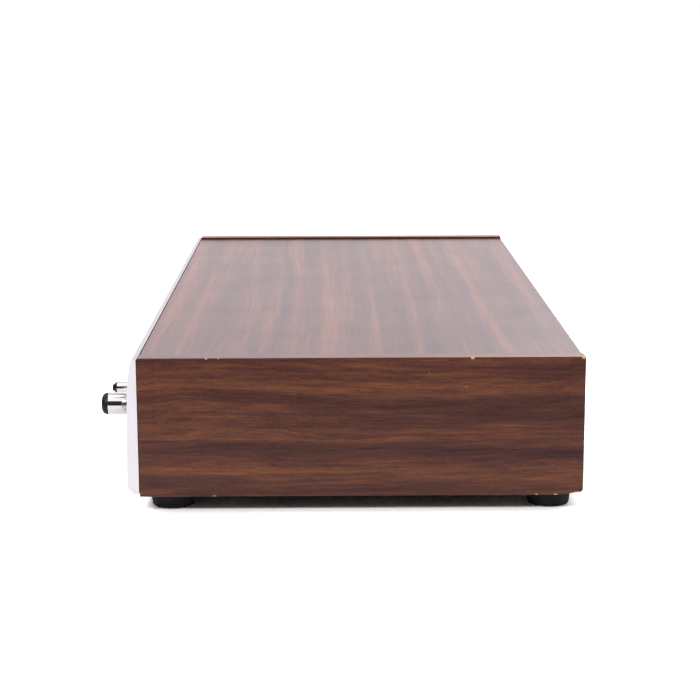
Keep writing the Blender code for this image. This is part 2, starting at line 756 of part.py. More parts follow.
def faceplate():
    """The aluminium plate: a long shallow bevel at the top, a short chamfer at the foot, and its openings."""
    profile = [
        (-FACE_BACK, FACE_FOOT), (-FACE_BACK, FACE_TOP), (-FACE_TOP_REACH, FACE_TOP),
        (-FACE_BEVEL_REACH, FACE_BEVEL_HEIGHT), (-FACE_MIDDLE_REACH, FACE_MIDDLE_HEIGHT),
        (-FACE_FULL_REACH, FACE_FULL_HEIGHT), (-FACE_FOOT_REACH, FACE_FOOT),
    ]
    length = CABINET_WIDTH - 2 * FACE_END_INSET
    face = plate([profile], length, (0, FRONT, FOOT_HEIGHT), TO_RIGHT)
    holes = [
        rounded(DIAL_LEFT, DIAL_RIGHT, WINDOW_BOTTOM, WINDOW_TOP, WINDOW_CORNER),
        rounded(METER_LEFT, METER_RIGHT, WINDOW_BOTTOM, WINDOW_TOP, WINDOW_CORNER),
        circle(POWER_RADIUS + GAP, POWER_X, CONTROL_Z),
        circle(TUNING_SHAFT_RADIUS + 2 * GAP, TUNING_X, CONTROL_Z),
        circle(JACK_FERRULE_RADIUS + GAP, JACK_X, ROW_Z),
    ]
    holes += [circle(POT_SHAFT_RADIUS + 2 * GAP, across, ROW_Z) for across in KNOB_PLACES.values()]
    holes += [centred(KEY_WIDTH + 2 * GAP, KEY_HEIGHT + 2 * GAP, across, ROW_Z) for across in KEY_X]
    depth = FACE_FULL_REACH + 2 * OVERRUN
    cut(face, plate(holes, depth, (0, FRONT - depth / 2 + OVERRUN, 0), TO_FRONT))
    return keep(face, "faceplate", ALUMINIUM)


def dial_glass():
    """One clear sheet behind the faceplate, raised where it fills the two windows."""
    low = (METER_LEFT - GLASS_LAP, FRONT, WINDOW_BOTTOM - GLASS_LAP)
    high = (DIAL_RIGHT + GLASS_LAP, FRONT + GLASS, WINDOW_TOP + GLASS_LAP)
    sheet = block(low, high)
    bosses = []
    for left, right in ((METER_LEFT, METER_RIGHT), (DIAL_LEFT, DIAL_RIGHT)):
        bosses.append(rounded(
            left + GAP, right - GAP, WINDOW_BOTTOM + GAP, WINDOW_TOP - GAP, WINDOW_CORNER - GAP))
    depth = GLASS_PROUD + GLASS / 2
    join(sheet, plate(bosses, depth, (0, FRONT - GLASS_PROUD + depth / 2, 0), TO_FRONT))
    return keep(sheet, "dial_glass", SMOKE)


def scale_plate():
    """The printed scale, bent back at both ends to stand on the sub-panel."""
    left = DIAL_LEFT - SCALE_END_LAP
    right = DIAL_RIGHT + SCALE_END_LAP
    front = SCALE_SETBACK
    back = SUB_PANEL_DEPTH - SHEET - GAP
    outline = [
        (left, front), (right, front), (right, back), (right - SCALE_SHEET, back),
        (right - SCALE_SHEET, front + SCALE_SHEET), (left + SCALE_SHEET, front + SCALE_SHEET),
        (left + SCALE_SHEET, back), (left, back),
    ]
    top = CARRIAGE_TOP - POINTER_ARM - 2 * GAP
    bottom = WINDOW_BOTTOM - SCALE_END_LAP
    place = (0, FRONT, (top + bottom) / 2)
    return keep(plate([outline], top - bottom, place, UP), "scale_plate", CARD)


def dial_lamp(name, across):
    """A tubular lamp in a holder that stands on the sub-panel."""
    start = (across, FRONT + LAMP_SETBACK, WINDOW_MIDDLE - LAMP_LENGTH / 2)
    lamp = rod(LAMP_RADIUS, LAMP_LENGTH, start, UP, 12)
    for end in (-1, 1):
        middle = WINDOW_MIDDLE + end * (LAMP_LENGTH - LAMP_HOLDER_WIDTH) / 2
        join(lamp, block(
            (across - LAMP_HOLDER_WIDTH / 2, FRONT + LAMP_SETBACK, middle - LAMP_HOLDER_WIDTH / 4),
            (across + LAMP_HOLDER_WIDTH / 2, SUB_BACK - SHEET - GAP, middle + LAMP_HOLDER_WIDTH / 4)))
    return keep(lamp, name, LAMP)


def meter_case():
    """The open-fronted case of the signal meter, with the pin its needle turns on."""
    low = (METER_LEFT - METER_LAP, FRONT + METER_FRONT, WINDOW_BOTTOM - METER_LAP)
    high = (METER_RIGHT + METER_LAP, FRONT + METER_FRONT + METER_DEPTH, WINDOW_TOP + METER_LAP)
    case = block(low, high)
    cut(case, block(
        (low[0] + METER_WALL, low[1] - OVERRUN, low[2] + METER_WALL),
        (high[0] - METER_WALL, high[1] - METER_WALL, high[2] - METER_WALL)))
    pin_length = METER_DEPTH / 2 + METER_HUB_DEPTH / 2 + GAP
    start = (METER_MIDDLE, high[1] - METER_WALL / 2, meter_pivot_z())
    join(case, rod(METER_PIN_RADIUS, pin_length, start, TO_FRONT, 12))
    return keep(case, "meter_case", BLACK)


def meter_pivot_z():
    return WINDOW_BOTTOM + METER_PIVOT_RISE


def meter_needle():
    """A thin needle on a bored hub, leaning to the left where it rests with no signal."""
    place = (METER_MIDDLE, FRONT + METER_FRONT + METER_DEPTH / 2, meter_pivot_z())
    facing = (TO_FRONT[0], -METER_REST_LEAN, 0)
    bore = METER_PIN_RADIUS + GAP
    half = METER_HUB_DEPTH / 2
    hub = turned(
        [(bore, half), (METER_HUB_RADIUS, half), (METER_HUB_RADIUS, -half), (bore, -half)],
        place, facing, 16, closed=True)
    wide = METER_NEEDLE_WIDTH / 2
    start = (bore + METER_HUB_RADIUS) / 2
    blade = [(-wide, start), (wide, start), (wide / 2, METER_NEEDLE_LENGTH), (-wide / 2, METER_NEEDLE_LENGTH)]
    join(hub, plate([blade], METER_HUB_DEPTH / 2, place, facing))
    return keep(hub, "meter_needle", WHITE)


# Tuning drive


def pointer_travel():
    """The way the cord moves while the rotor makes half a turn."""
    return math.pi * GEAR_TEETH / PINION_TEETH * DRUM_PITCH


def dial_pointer():
    """The pointer: a needle before the scale, an arm through the sub-panel's slot and a carriage on the cord."""
    arm_low = CARRIAGE_TOP - POINTER_ARM
    front = POINTER_SETBACK
    back = CORD_SETBACK + CARRIAGE_DEPTH / 2
    foot_z = WINDOW_BOTTOM + POINTER_FOOT_SPACE
    outline = [
        (front, foot_z), (front + POINTER_NEEDLE, foot_z), (front + POINTER_NEEDLE, arm_low),
        (back, arm_low), (back, CARRIAGE_TOP), (front, CARRIAGE_TOP),
    ]
    pointer = plate([outline], POINTER_WIDTH, (POINTER_X, FRONT, 0), TO_RIGHT)
    half = CARRIAGE_WIDTH / 2
    join(pointer, block(
        (POINTER_X - half, CORD_Y - CARRIAGE_DEPTH / 2 + GAP, arm_low + GAP),
        (POINTER_X + half, CORD_Y + CARRIAGE_DEPTH / 2 - GAP, CARRIAGE_TOP)))
    return keep(pointer, "dial_pointer", RED)


def wheel_profile(pitch, bore, inner):
    """A grooved rim on a thin web, from the pitch radius of its cord."""
    groove = pitch - CORD_CLEARANCE
    rim = pitch + RIM_RISE
    half = RIM_WIDTH / 2
    floor = half - RIM_WALL
    return [
        (bore, half), (inner, half), (rim, half), (rim, floor), (groove, floor),
        (groove, -floor), (rim, -floor), (rim, -half), (inner, -half), (bore, -half),
    ]


def cord_pulley(name, across):
    bore = PULLEY_PIN_RADIUS + GAP
    profile = wheel_profile(PULLEY_PITCH, bore, PULLEY_PIN_RADIUS * 2)
    return keep(turned(profile, (across, CORD_Y, PULLEY_Z), TO_FRONT, 12, closed=True), name, WHITE)


def gear_outline(teeth, spin=0):
    """An external gear with straight-flanked teeth, thinned for running clearance."""
    pitch = GEAR_MODULE * teeth / 2
    tip = pitch + GEAR_MODULE * GEAR_ADDENDUM_SHARE
    root = pitch - GEAR_MODULE * GEAR_DEDENDUM_SHARE
    thick = math.pi * GEAR_MODULE / 2 - GEAR_BACKLASH
    half_tip = (thick / 2 - (tip - pitch) * math.tan(GEAR_PRESSURE)) / tip
    half_root = (thick / 2 + (pitch - root) * math.tan(GEAR_PRESSURE) * GEAR_FLANK_SHARE) / root
    points = []
    for index in range(teeth):
        middle = spin + 2 * math.pi * index / teeth
        for radius, turn in ((root, -half_root), (tip, -half_tip), (tip, half_tip), (root, half_root)):
            points.append((radius * math.cos(middle + turn), radius * math.sin(middle + turn)))
    return points


def dial_drum():
    """The cord drum with its shaft, and the pinion on it that drives the capacitor's gear."""
    groove = DRUM_PITCH - CORD_CLEARANCE
    rim = DRUM_PITCH + RIM_RISE
    inner = groove - RIM_DEPTH
    half = RIM_WIDTH / 2
    floor = half - RIM_WALL
    rear_end = CORD_SETBACK - DRUM_SHAFT_SETBACK
    profile = [
        (0, half), (DRUM_HUB_RADIUS, half), (DRUM_HUB_RADIUS, WEB / 2), (inner, WEB / 2), (inner, half),
        (rim, half), (rim, floor), (groove, floor), (groove, -floor), (rim, -floor), (rim, -half),
        (inner, -half), (inner, -WEB / 2), (DRUM_HUB_RADIUS, -WEB / 2), (DRUM_HUB_RADIUS, -half),
        (DRUM_SHAFT_RADIUS, -half), (DRUM_SHAFT_RADIUS, rear_end), (0, rear_end),
    ]
    drum = turned(profile, (DRUM_X, CORD_Y, DRUM_Z), TO_FRONT, 20)
    angles = [2 * math.pi * index / WEB_HOLES for index in range(WEB_HOLES)]
    holes = [
        circle(WEB_HOLE_RADIUS, WEB_HOLE_PLACE * math.cos(angle), WEB_HOLE_PLACE * math.sin(angle), 12)
        for angle in angles
    ]
    cut(drum, plate(holes, WEB + 2 * OVERRUN, (DRUM_X, CORD_Y, DRUM_Z), TO_FRONT))
    width = GEAR_WIDTH + PINION_EXTRA
    place = (DRUM_X, FRONT + GEAR_SETBACK + GEAR_WIDTH / 2, DRUM_Z)
    tooth_down = -math.pi / 2
    join(drum, plate([gear_outline(PINION_TEETH, tooth_down)], width, place, TO_FRONT))
    return keep(drum, "dial_drum", WHITE)


def rotor_gear():
    """The large gear on the rotor's shaft, turned half a tooth so that it meshes with the pinion above."""
    gap_up = math.pi / 2 + math.pi / GEAR_TEETH
    outlines = [gear_outline(GEAR_TEETH, gap_up), circle(ROTOR_SHAFT_RADIUS + GAP)]
    place = (DRUM_X, FRONT + GEAR_SETBACK + GEAR_WIDTH / 2, ROTOR_Z)
    return keep(plate(outlines, GEAR_WIDTH, place, TO_FRONT), "rotor_gear", BRASS)


def plate_stack(outline, count, place):
    """Equal thin plates in a row along the capacitor, centred on their place."""
    drawing = [outline]
    stack = plate(drawing, PLATE, place, TO_FRONT)
    copies = stack.modifiers.new("row", "ARRAY")
    copies.count = count
    copies.use_relative_offset = False
    copies.use_constant_offset = True
    copies.constant_offset_displace = (0, 0, PLATE_PITCH)
    shift = PLATE_PITCH * (count - 1) / 2
    stack.location.y += shift
    return as_mesh(stack)


def capacitor_middle():
    return FRONT + CAPACITOR_SETBACK + CAPACITOR_LENGTH / 2


def rotor_plates():
    """The rotor: half-round plates on a shaft, drawn with the plates halfway into the stator."""
    angles = [math.pi * (-0.5 + index / 10) for index in range(11)]
    half_round = [(ROTOR_RADIUS * math.cos(angle), ROTOR_RADIUS * math.sin(angle)) for angle in angles]
    front = FRONT + GEAR_SETBACK - ROTOR_SHAFT_END
    back = FRONT + CAPACITOR_SETBACK + CAPACITOR_LENGTH + ROTOR_SHAFT_END
    shaft = turned(
        [(0, back - front), (ROTOR_SHAFT_RADIUS, back - front), (ROTOR_SHAFT_RADIUS, 0), (0, 0)],
        (DRUM_X, front, ROTOR_Z), TO_REAR, SMALL_STEPS)
    join(shaft, plate_stack(half_round, ROTOR_PLATES, (DRUM_X, capacitor_middle(), ROTOR_Z)))
    return keep(shaft, "rotor_plates", ALUMINIUM)


def stator_plates():
    """The fixed plates below the rotor's shaft, held together by two posts."""
    low = SEAT + SHEET + GAP - ROTOR_Z
    high = -STATOR_DROP
    notch = ROTOR_SHAFT_RADIUS + STATOR_NOTCH
    turn = math.asin(STATOR_DROP / notch)
    angles = [-turn - (math.pi - 2 * turn) * index / 6 for index in range(7)]
    bite = [(notch * math.cos(angle), notch * math.sin(angle)) for angle in angles]
    outline = [(-STATOR_HALF_WIDTH, high), (-STATOR_HALF_WIDTH, low), (STATOR_HALF_WIDTH, low),
               (STATOR_HALF_WIDTH, high)] + bite
    count = ROTOR_PLATES + 1
    stack = plate_stack(outline, count, (DRUM_X, capacitor_middle(), ROTOR_Z))
    length = PLATE_PITCH * (count - 1)
    posts = [circle(STATOR_POST_RADIUS, side * STATOR_POST_PLACE, -STATOR_POST_DROP, 8) for side in (-1, 1)]
    bars = plate(posts, length, (DRUM_X, capacitor_middle(), ROTOR_Z), TO_FRONT)
    join(bars, stack)
    return keep(bars, "stator_plates", BRASS)


def capacitor_frame():
    """The folded frame that carries the rotor, and the drum's shaft at its taller front."""
    end = CAPACITOR_LENGTH
    front_top = DRUM_Z + CAPACITOR_FRONT_RISE - SEAT
    back_top = ROTOR_Z + CAPACITOR_BACK_RISE - SEAT
    fold = [
        (0, 0), (end, 0), (end, back_top), (end - SHEET, back_top), (end - SHEET, SHEET),
        (SHEET, SHEET), (SHEET, front_top), (0, front_top),
    ]
    frame = plate([fold], CAPACITOR_WIDTH, (DRUM_X, FRONT + CAPACITOR_SETBACK, SEAT), TO_RIGHT)
    holes = [circle(ROTOR_SHAFT_RADIUS + GAP, DRUM_X, ROTOR_Z), circle(DRUM_SHAFT_RADIUS + GAP, DRUM_X, DRUM_Z)]
    cut(frame, plate(holes, end + 2 * OVERRUN, (0, capacitor_middle(), 0), TO_FRONT))
    return keep(frame, "capacitor_frame", STEEL)


def belt_arc(wheel, start, end):
    """Points clockwise round a wheel between two directions, with its extra turns side by side."""
    across, up, radius, turns = wheel
    swing = (start - end) % (2 * math.pi) + 2 * math.pi * turns
    steps = max(2, math.ceil(swing / CORD_ARC_STEP))
    points = []
    for index in range(steps + 1):
        share = index / steps
        angle = start - swing * share
        depth = CORD_TURN_PITCH * turns * (share - 0.5)
        points.append((across + radius * math.cos(angle), depth, up + radius * math.sin(angle)))
    return points


def belt_route(wheels):
    """The closed way of a cord clockwise round the outside of its wheels."""
    normals = []
    for first, second in zip(wheels, wheels[1:] + wheels[:1]):
        run = math.hypot(second[0] - first[0], second[1] - first[1])
        heading = math.atan2(second[1] - first[1], second[0] - first[0])
        lean = math.asin((first[2] - second[2]) / run)
        normals.append(heading + math.pi / 2 - lean)
    points = []
    for index, wheel in enumerate(wheels):
        points += belt_arc(wheel, normals[index - 1], normals[index])
    return points


def dial_cord():
    """The endless cord: twice round the spindle, once round the drum and over both pulleys."""
    wheels = [
        (PULLEY_LEFT_X, PULLEY_Z, PULLEY_PITCH, 0),
        (PULLEY_RIGHT_X, PULLEY_Z, PULLEY_PITCH, 0),
        (TUNING_X, CONTROL_Z, SPINDLE_PITCH, SPINDLE_TURNS),
        (DRUM_X, DRUM_Z, DRUM_PITCH, DRUM_TURNS),
    ]
    drawing = bpy.data.curves.new("cord", "CURVE")
    drawing.dimensions = "3D"
    drawing.bevel_depth = CORD_RADIUS
    drawing.bevel_resolution = 1
    spline = drawing.splines.new("POLY")
    route = belt_route(wheels)
    spline.points.add(len(route) - 1)
    spline.use_cyclic_u = True
    for point, place in zip(spline.points, route):
        point.co = (*place, 1)
    item = bpy.data.objects.new("cord", drawing)
    item.location = (0, CORD_Y, 0)
    bpy.context.scene.collection.objects.link(item)
    return keep(as_mesh(item), "dial_cord", CORD)


def tuning_shaft():
    """The shaft, necked down where the cord runs round it."""
    neck = SPINDLE_PITCH - CORD_CLEARANCE
    profile = [
        (0, TUNING_SHAFT_FRONT), (TUNING_SHAFT_RADIUS, TUNING_SHAFT_FRONT),
        (TUNING_SHAFT_RADIUS, -CORD_SETBACK + SPINDLE_LENGTH / 2), (neck, -CORD_SETBACK + SPINDLE_LENGTH / 2),
        (neck, -CORD_SETBACK - SPINDLE_LENGTH / 2), (TUNING_SHAFT_RADIUS, -CORD_SETBACK - SPINDLE_LENGTH / 2),
        (TUNING_SHAFT_RADIUS, -TUNING_SHAFT_SETBACK), (0, -TUNING_SHAFT_SETBACK),
    ]
    return keep(turned(profile, (TUNING_X, FRONT, CONTROL_Z), TO_FRONT, 16), "tuning_shaft", STEEL)


def flywheel():
    """The heavy wheel that lets the dial coast."""
    bore = TUNING_SHAFT_RADIUS + GAP
    front = -FLYWHEEL_SETBACK
    back = front - FLYWHEEL_LENGTH
    profile = [
        (bore, front), (FLYWHEEL_RADIUS - FLYWHEEL_EDGE, front), (FLYWHEEL_RADIUS, front - FLYWHEEL_EDGE),
        (FLYWHEEL_RADIUS, back + FLYWHEEL_EDGE), (FLYWHEEL_RADIUS - FLYWHEEL_EDGE, back), (bore, back),
    ]
    place = (TUNING_X, FRONT, CONTROL_Z)
    return keep(turned(profile, place, TO_FRONT, closed=True), "flywheel", BRASS)


def tuning_bushing():
    """The bush in the sub-panel that the tuning shaft turns in."""
    bore = TUNING_SHAFT_RADIUS + GAP
    outer = bore + BUSH_WALL
    seat = -SUB_PANEL_DEPTH + SHEET + GAP
    profile = [
        (bore, -BUSH_SETBACK), (outer, -BUSH_SETBACK), (outer, seat + BUSH_FLANGE + GAP),
        (BUSH_FLANGE_RADIUS, seat + BUSH_FLANGE + GAP), (BUSH_FLANGE_RADIUS, seat + GAP), (outer, seat + GAP),
        (outer, -SUB_PANEL_DEPTH), (bore, -SUB_PANEL_DEPTH),
    ]
    place = (TUNING_X, FRONT, CONTROL_Z)
    return keep(turned(profile, place, TO_FRONT, 12, closed=True), "tuning_bushing", BRASS)


def tuning_knob():
    """The bright tuning knob on its finger skirt, bored for the shaft."""
    bore = TUNING_SHAFT_RADIUS + GAP
    back = face_reach(CONTROL_Z - FOOT_HEIGHT) + SKIRT_SPACE
    skirt = back + TUNING_SKIRT
    profile = [
        (0, KNOB_REACH), (KNOB_RADIUS - KNOB_EDGE, KNOB_REACH), (KNOB_RADIUS, KNOB_REACH - KNOB_EDGE),
        (KNOB_RADIUS, skirt), (TUNING_SKIRT_RADIUS - SKIRT_EDGE, skirt), (TUNING_SKIRT_RADIUS, skirt - SKIRT_EDGE),
        (TUNING_SKIRT_RADIUS, back), (bore, back), (bore, KNOB_REACH - KNOB_BORE_END), (0, KNOB_REACH - KNOB_BORE_END),
    ]
    return keep(turned(profile, (TUNING_X, FRONT, CONTROL_Z), TO_FRONT), "tuning_knob", CHROME)


# Lower row of controls


def small_knob(name, across):
    """A tone or volume knob with the shaft it is pressed on."""
    back = face_reach(ROW_Z - FOOT_HEIGHT) + SKIRT_SPACE
    skirt = back + SMALL_SKIRT
    profile = [
        (0, SMALL_KNOB_REACH), (SMALL_KNOB_RADIUS - KNOB_EDGE, SMALL_KNOB_REACH),
        (SMALL_KNOB_RADIUS, SMALL_KNOB_REACH - KNOB_EDGE), (SMALL_KNOB_RADIUS, skirt),
        (SMALL_SKIRT_RADIUS - SKIRT_EDGE, skirt), (SMALL_SKIRT_RADIUS, skirt - SKIRT_EDGE),
        (SMALL_SKIRT_RADIUS, back), (POT_SHAFT_RADIUS, back), (POT_SHAFT_RADIUS, -POT_SHAFT_SETBACK),
        (0, -POT_SHAFT_SETBACK),
    ]
    return keep(turned(profile, (across, FRONT, ROW_Z), TO_FRONT, 20), name, CHROME)


def potentiometer(name, across):
    """The control itself: a can behind the sub-panel, its bush, and a strip of solder tags."""
    bore = POT_SHAFT_RADIUS + GAP
    shoulder = -SUB_PANEL_DEPTH - GAP
    end = shoulder - POT_BODY_LENGTH
    bottom = -POT_SHAFT_SETBACK - GAP
    profile = [
        (0, bottom), (bore, bottom), (bore, shoulder + POT_BUSH_LENGTH), (POT_BUSH_RADIUS, shoulder + POT_BUSH_LENGTH),
        (POT_BUSH_RADIUS, shoulder), (POT_BODY_RADIUS, shoulder), (POT_BODY_RADIUS, end), (0, end),
    ]
    pot = turned(profile, (across, FRONT, ROW_Z), TO_FRONT, 12)
    low = ROW_Z - POT_BODY_RADIUS - POT_TAG_HEIGHT
    top = ROW_Z - POT_BODY_RADIUS / 2
    front = FRONT - shoulder
    join(pot, block(
        (across - POT_TAG_WIDTH / 2, front + POT_TAG_SHEET, low),
        (across + POT_TAG_WIDTH / 2, front + 2 * POT_TAG_SHEET, top)))
    return keep(pot, name, STEEL)


def key_bank():
    """The row of switches behind the keys, bored for the keys' stems."""
    left = KEY_X[0] - KEY_BANK_MARGIN
    right = KEY_X[-1] + KEY_BANK_MARGIN
    front = SUB_BACK + GAP
    half = KEY_BANK_HEIGHT / 2
    bank = block((left, front, ROW_Z - half), (right, front + KEY_BANK_DEPTH, ROW_Z + half))
    deep = FRONT + KEY_STEM_SETBACK + KEY_TRAVEL + GAP
    holes = [centred(KEY_STEM_WIDTH + 2 * GAP, KEY_STEM_HEIGHT + 2 * GAP, across, ROW_Z) for across in KEY_X]
    length = deep - front + OVERRUN
    cut(bank, plate(holes, length, (0, deep - length / 2, 0), TO_FRONT))
    return keep(bank, "key_bank", BLACK)


def selector_key(name, across):
    """A push key: a cap with a softened edge on a flat stem."""
    origin = (across, FRONT, ROW_Z)
    cap = block(
        (across - KEY_WIDTH / 2, FRONT - KEY_REACH, ROW_Z - KEY_HEIGHT / 2),
        (across + KEY_WIDTH / 2, FRONT - KEY_REACH + KEY_CAP_LENGTH, ROW_Z + KEY_HEIGHT / 2), origin)
    soften(cap, KEY_EDGE)
    join(cap, block(
        (across - KEY_STEM_WIDTH / 2, FRONT - KEY_REACH + KEY_CAP_LENGTH / 2, ROW_Z - KEY_STEM_HEIGHT / 2),
        (across + KEY_STEM_WIDTH / 2, FRONT + KEY_STEM_SETBACK, ROW_Z + KEY_STEM_HEIGHT / 2)))
    return keep(cap, name, CHROME)


def power_button():
    """The round push button with its chamfered tip."""
    profile = [
        (0, POWER_REACH), (POWER_RADIUS - POWER_CHAMFER_IN, POWER_REACH), (POWER_RADIUS, POWER_REACH - POWER_CHAMFER),
        (POWER_RADIUS, 0), (POWER_STEM_RADIUS, 0), (POWER_STEM_RADIUS, -POWER_STEM_SETBACK),
        (0, -POWER_STEM_SETBACK),
    ]
    return keep(turned(profile, (POWER_X, FRONT, CONTROL_Z), TO_FRONT, 20), "power_button", CHROME)


def lower_run(across):
    """The height of the cord's lower run, between the spindle and the drum, at a place along the width."""
    run = math.hypot(DRUM_X - TUNING_X, DRUM_Z - CONTROL_Z)
    heading = math.atan2(DRUM_Z - CONTROL_Z, TUNING_X - DRUM_X)
    slope = math.asin((DRUM_PITCH - SPINDLE_PITCH) / run) - heading
    below_spindle = CONTROL_Z - SPINDLE_PITCH / math.cos(slope)
    return below_spindle - (TUNING_X - across) * math.tan(slope)


def power_switch():
    """The mains switch behind the button, bored for its stem, just above the cord's lower run."""
    half = POWER_SWITCH_WIDTH / 2
    low = max(lower_run(POWER_X - half), lower_run(POWER_X + half)) + CORD_CLEARANCE + POWER_SWITCH_SPACE
    front = SUB_BACK + GAP
    switch = block(
        (POWER_X - half, front, low),
        (POWER_X + half, front + POWER_SWITCH_DEPTH, low + POWER_SWITCH_HEIGHT))
    deep = FRONT + POWER_STEM_SETBACK + POWER_TRAVEL + GAP
    start = (POWER_X, front - OVERRUN, CONTROL_Z)
    cut(switch, rod(POWER_STEM_RADIUS + GAP, deep - front + OVERRUN, start, TO_REAR, 16))
    return keep(switch, "power_switch", BLACK)


def headphone_jack():
    """The jack: a ferrule and ring nut in front of the faceplate and a body behind it."""
    reach = face_reach(ROW_Z - FOOT_HEIGHT) + GAP
    half = JACK_BODY / 2
    body = block((JACK_X - half, FRONT, ROW_Z - half), (JACK_X + half, FRONT + JACK_BODY_DEPTH, ROW_Z + half))
    profile = [
        (0, reach + JACK_NUT), (JACK_NUT_RADIUS, reach + JACK_NUT), (JACK_NUT_RADIUS, reach),
        (JACK_FERRULE_RADIUS, reach), (JACK_FERRULE_RADIUS, -JACK_END_WALL), (0, -JACK_END_WALL),
    ]
    join(body, turned(profile, (JACK_X, FRONT, ROW_Z), TO_FRONT, 24))
    start = (JACK_X, FRONT - reach - JACK_NUT - OVERRUN, ROW_Z)
    length = reach + JACK_NUT + OVERRUN + JACK_BODY_DEPTH - JACK_END_WALL
    cut(body, rod(JACK_BORE_RADIUS, length, start, TO_REAR, 24))
    return keep(body, "headphone_jack", BLACK)


# Power supply and boards


def transformer():
    """A stack of laminations with fixing lugs and two windows, and the winding round its middle leg."""
    half = CORE_WIDTH / 2
    lug = half + CORE_LUG_REACH
    shoulder = CORE_HEIGHT - CORE_CORNER
    outline = [[
        (-lug, 0), (lug, 0), (lug, CORE_LUG), (half, CORE_LUG), (half, shoulder), (half - CORE_CORNER, CORE_HEIGHT),
        (CORE_CORNER - half, CORE_HEIGHT), (-half, shoulder), (-half, CORE_LUG), (-lug, CORE_LUG),
    ]]
    low = (CORE_HEIGHT - CORE_WINDOW_HEIGHT) / 2
    for side in (-1, 1):
        inner = side * CORE_LEG / 2
        outer = side * (CORE_LEG / 2 + CORE_WINDOW_WIDTH)
        outline.append(rectangle(min(inner, outer), max(inner, outer), low, low + CORE_WINDOW_HEIGHT))
    core = plate(outline, CORE_STACK, (TRANSFORMER_X, TRANSFORMER_Y, SEAT), TO_FRONT)
    keep(core, "transformer_core", LAMINATION)
    across = CORE_LEG / 2 + CORE_WINDOW_WIDTH - GAP
    along = CORE_STACK / 2 + WINDING_BUILD
    ring = [
        rounded(-across, across, -along, along, WINDING_CORNER),
        centred(CORE_LEG + 2 * GAP, CORE_STACK + 2 * GAP),
    ]
    place = (TRANSFORMER_X, TRANSFORMER_Y, SEAT + CORE_HEIGHT / 2)
    winding = plate(ring, CORE_WINDOW_HEIGHT - 2 * GAP, place, UP)
    keep(winding, "transformer_winding", COPPER)


def supply_can(name, along):
    """A large electrolytic can with the rolled groove near its top."""
    height = SUPPLY_CAN_HEIGHT
    groove = height - SUPPLY_CAN_GROOVE_DROP
    radius = SUPPLY_CAN_RADIUS
    profile = [
        (0, height), (radius - SUPPLY_CAN_EDGE, height), (radius, height - SUPPLY_CAN_EDGE),
        (radius, groove + SUPPLY_CAN_GROOVE), (radius - SUPPLY_CAN_GROOVE, groove),
        (radius, groove - SUPPLY_CAN_GROOVE), (radius, 0), (0, 0),
    ]
    return keep(turned(profile, (SUPPLY_CAN_X, along, SEAT), UP, 16), name, BLACK)


def row(middle, pitch, count):
    """Evenly spaced places about a middle."""
    return [middle + pitch * (index - (count - 1) / 2) for index in range(count)]


def board_on_posts(middle_x, middle_y, width, depth):
    """A circuit board standing on four posts."""
    bottom = SEAT + BOARD_RISE
    low = (middle_x - width / 2, middle_y - depth / 2, bottom)
    high = (middle_x + width / 2, middle_y + depth / 2, bottom + BOARD)
    board = block(low, high)
    inset = BOARD_POST_INSET
    posts = [
        circle(BOARD_POST_RADIUS, across, along, 8)
        for across in (low[0] + inset, high[0] - inset)
        for along in (low[1] + inset, high[1] - inset)
    ]
    return stand_on(board, posts, SEAT, BOARD_RISE + BOARD / 2)


def stand_on(board, outlines, bottom, height):
    """Join upright pieces of one height to a board."""
    return join(board, plate(outlines, height, (0, 0, bottom + height / 2), UP))


def main_board():
    """The tuner and tone board: a row of tuned-circuit cans between its capacitors and its chips."""
    board = board_on_posts(BOARD_X, BOARD_Y, BOARD_WIDTH, BOARD_DEPTH)
    inside = SEAT + BOARD_RISE + BOARD / 2
    front = BOARD_Y - BOARD_DEPTH / 2 + CAPACITOR_ROW_INSET
    back = BOARD_Y + BOARD_DEPTH / 2 - CHIP_ROW_INSET
    cans = [centred(TUNED_CAN_SIDE, TUNED_CAN_SIDE, x, BOARD_Y) for x in row(BOARD_X, TUNED_CAN_PITCH, TUNED_CANS)]
    capacitors = [circle(CAPACITOR_RADIUS, x, front, 8) for x in row(BOARD_X, CAPACITOR_PITCH, CAPACITORS)]
    chips = [centred(CHIP_WIDTH, CHIP_DEPTH, x, back) for x in row(BOARD_X, CHIP_PITCH, CHIPS)]
    stand_on(board, cans, inside, TUNED_CAN_HEIGHT + BOARD / 2)
    stand_on(board, capacitors, inside, CAPACITOR_HEIGHT + BOARD / 2)
    stand_on(board, chips, inside, CHIP_HEIGHT + BOARD / 2)
    return keep(board, "main_board", GREEN_BOARD)


def amplifier_board():
    """The output stage: a board whose row of power transistors stands against the rear panel."""
    middle_y = PANEL_FRONT - AMPLIFIER_PANEL_SPACE - AMPLIFIER_DEPTH / 2
    board = board_on_posts(SINK_X, middle_y, AMPLIFIER_WIDTH, AMPLIFIER_DEPTH)
    inside = SEAT + BOARD_RISE + BOARD / 2
    top = inside + BOARD / 2
    front = middle_y - AMPLIFIER_DEPTH / 2 + CAPACITOR_ROW_INSET
    capacitors = [circle(CAPACITOR_RADIUS, x, front, 8) for x in row(SINK_X, CAPACITOR_PITCH, TRANSISTORS)]
    stand_on(board, capacitors, inside, CAPACITOR_HEIGHT + BOARD / 2)
    rear = PANEL_FRONT - GAP
    board_edge = middle_y + AMPLIFIER_DEPTH / 2
    for across in row(SINK_X, TRANSISTOR_PITCH, TRANSISTORS):
        half = TRANSISTOR_WIDTH / 2
        join(board, block(
            (across - half, board_edge - TRANSISTOR_LEG, inside),
            (across + half, rear - TRANSISTOR_DEPTH / 2, top + TRANSISTOR_LEG)))
        join(board, block(
            (across - half, rear - TRANSISTOR_DEPTH, inside),
            (across + half, rear, top + TRANSISTOR_HEIGHT)))
    return keep(board, "amplifier_board", GREEN_BOARD)


# Rear fittings


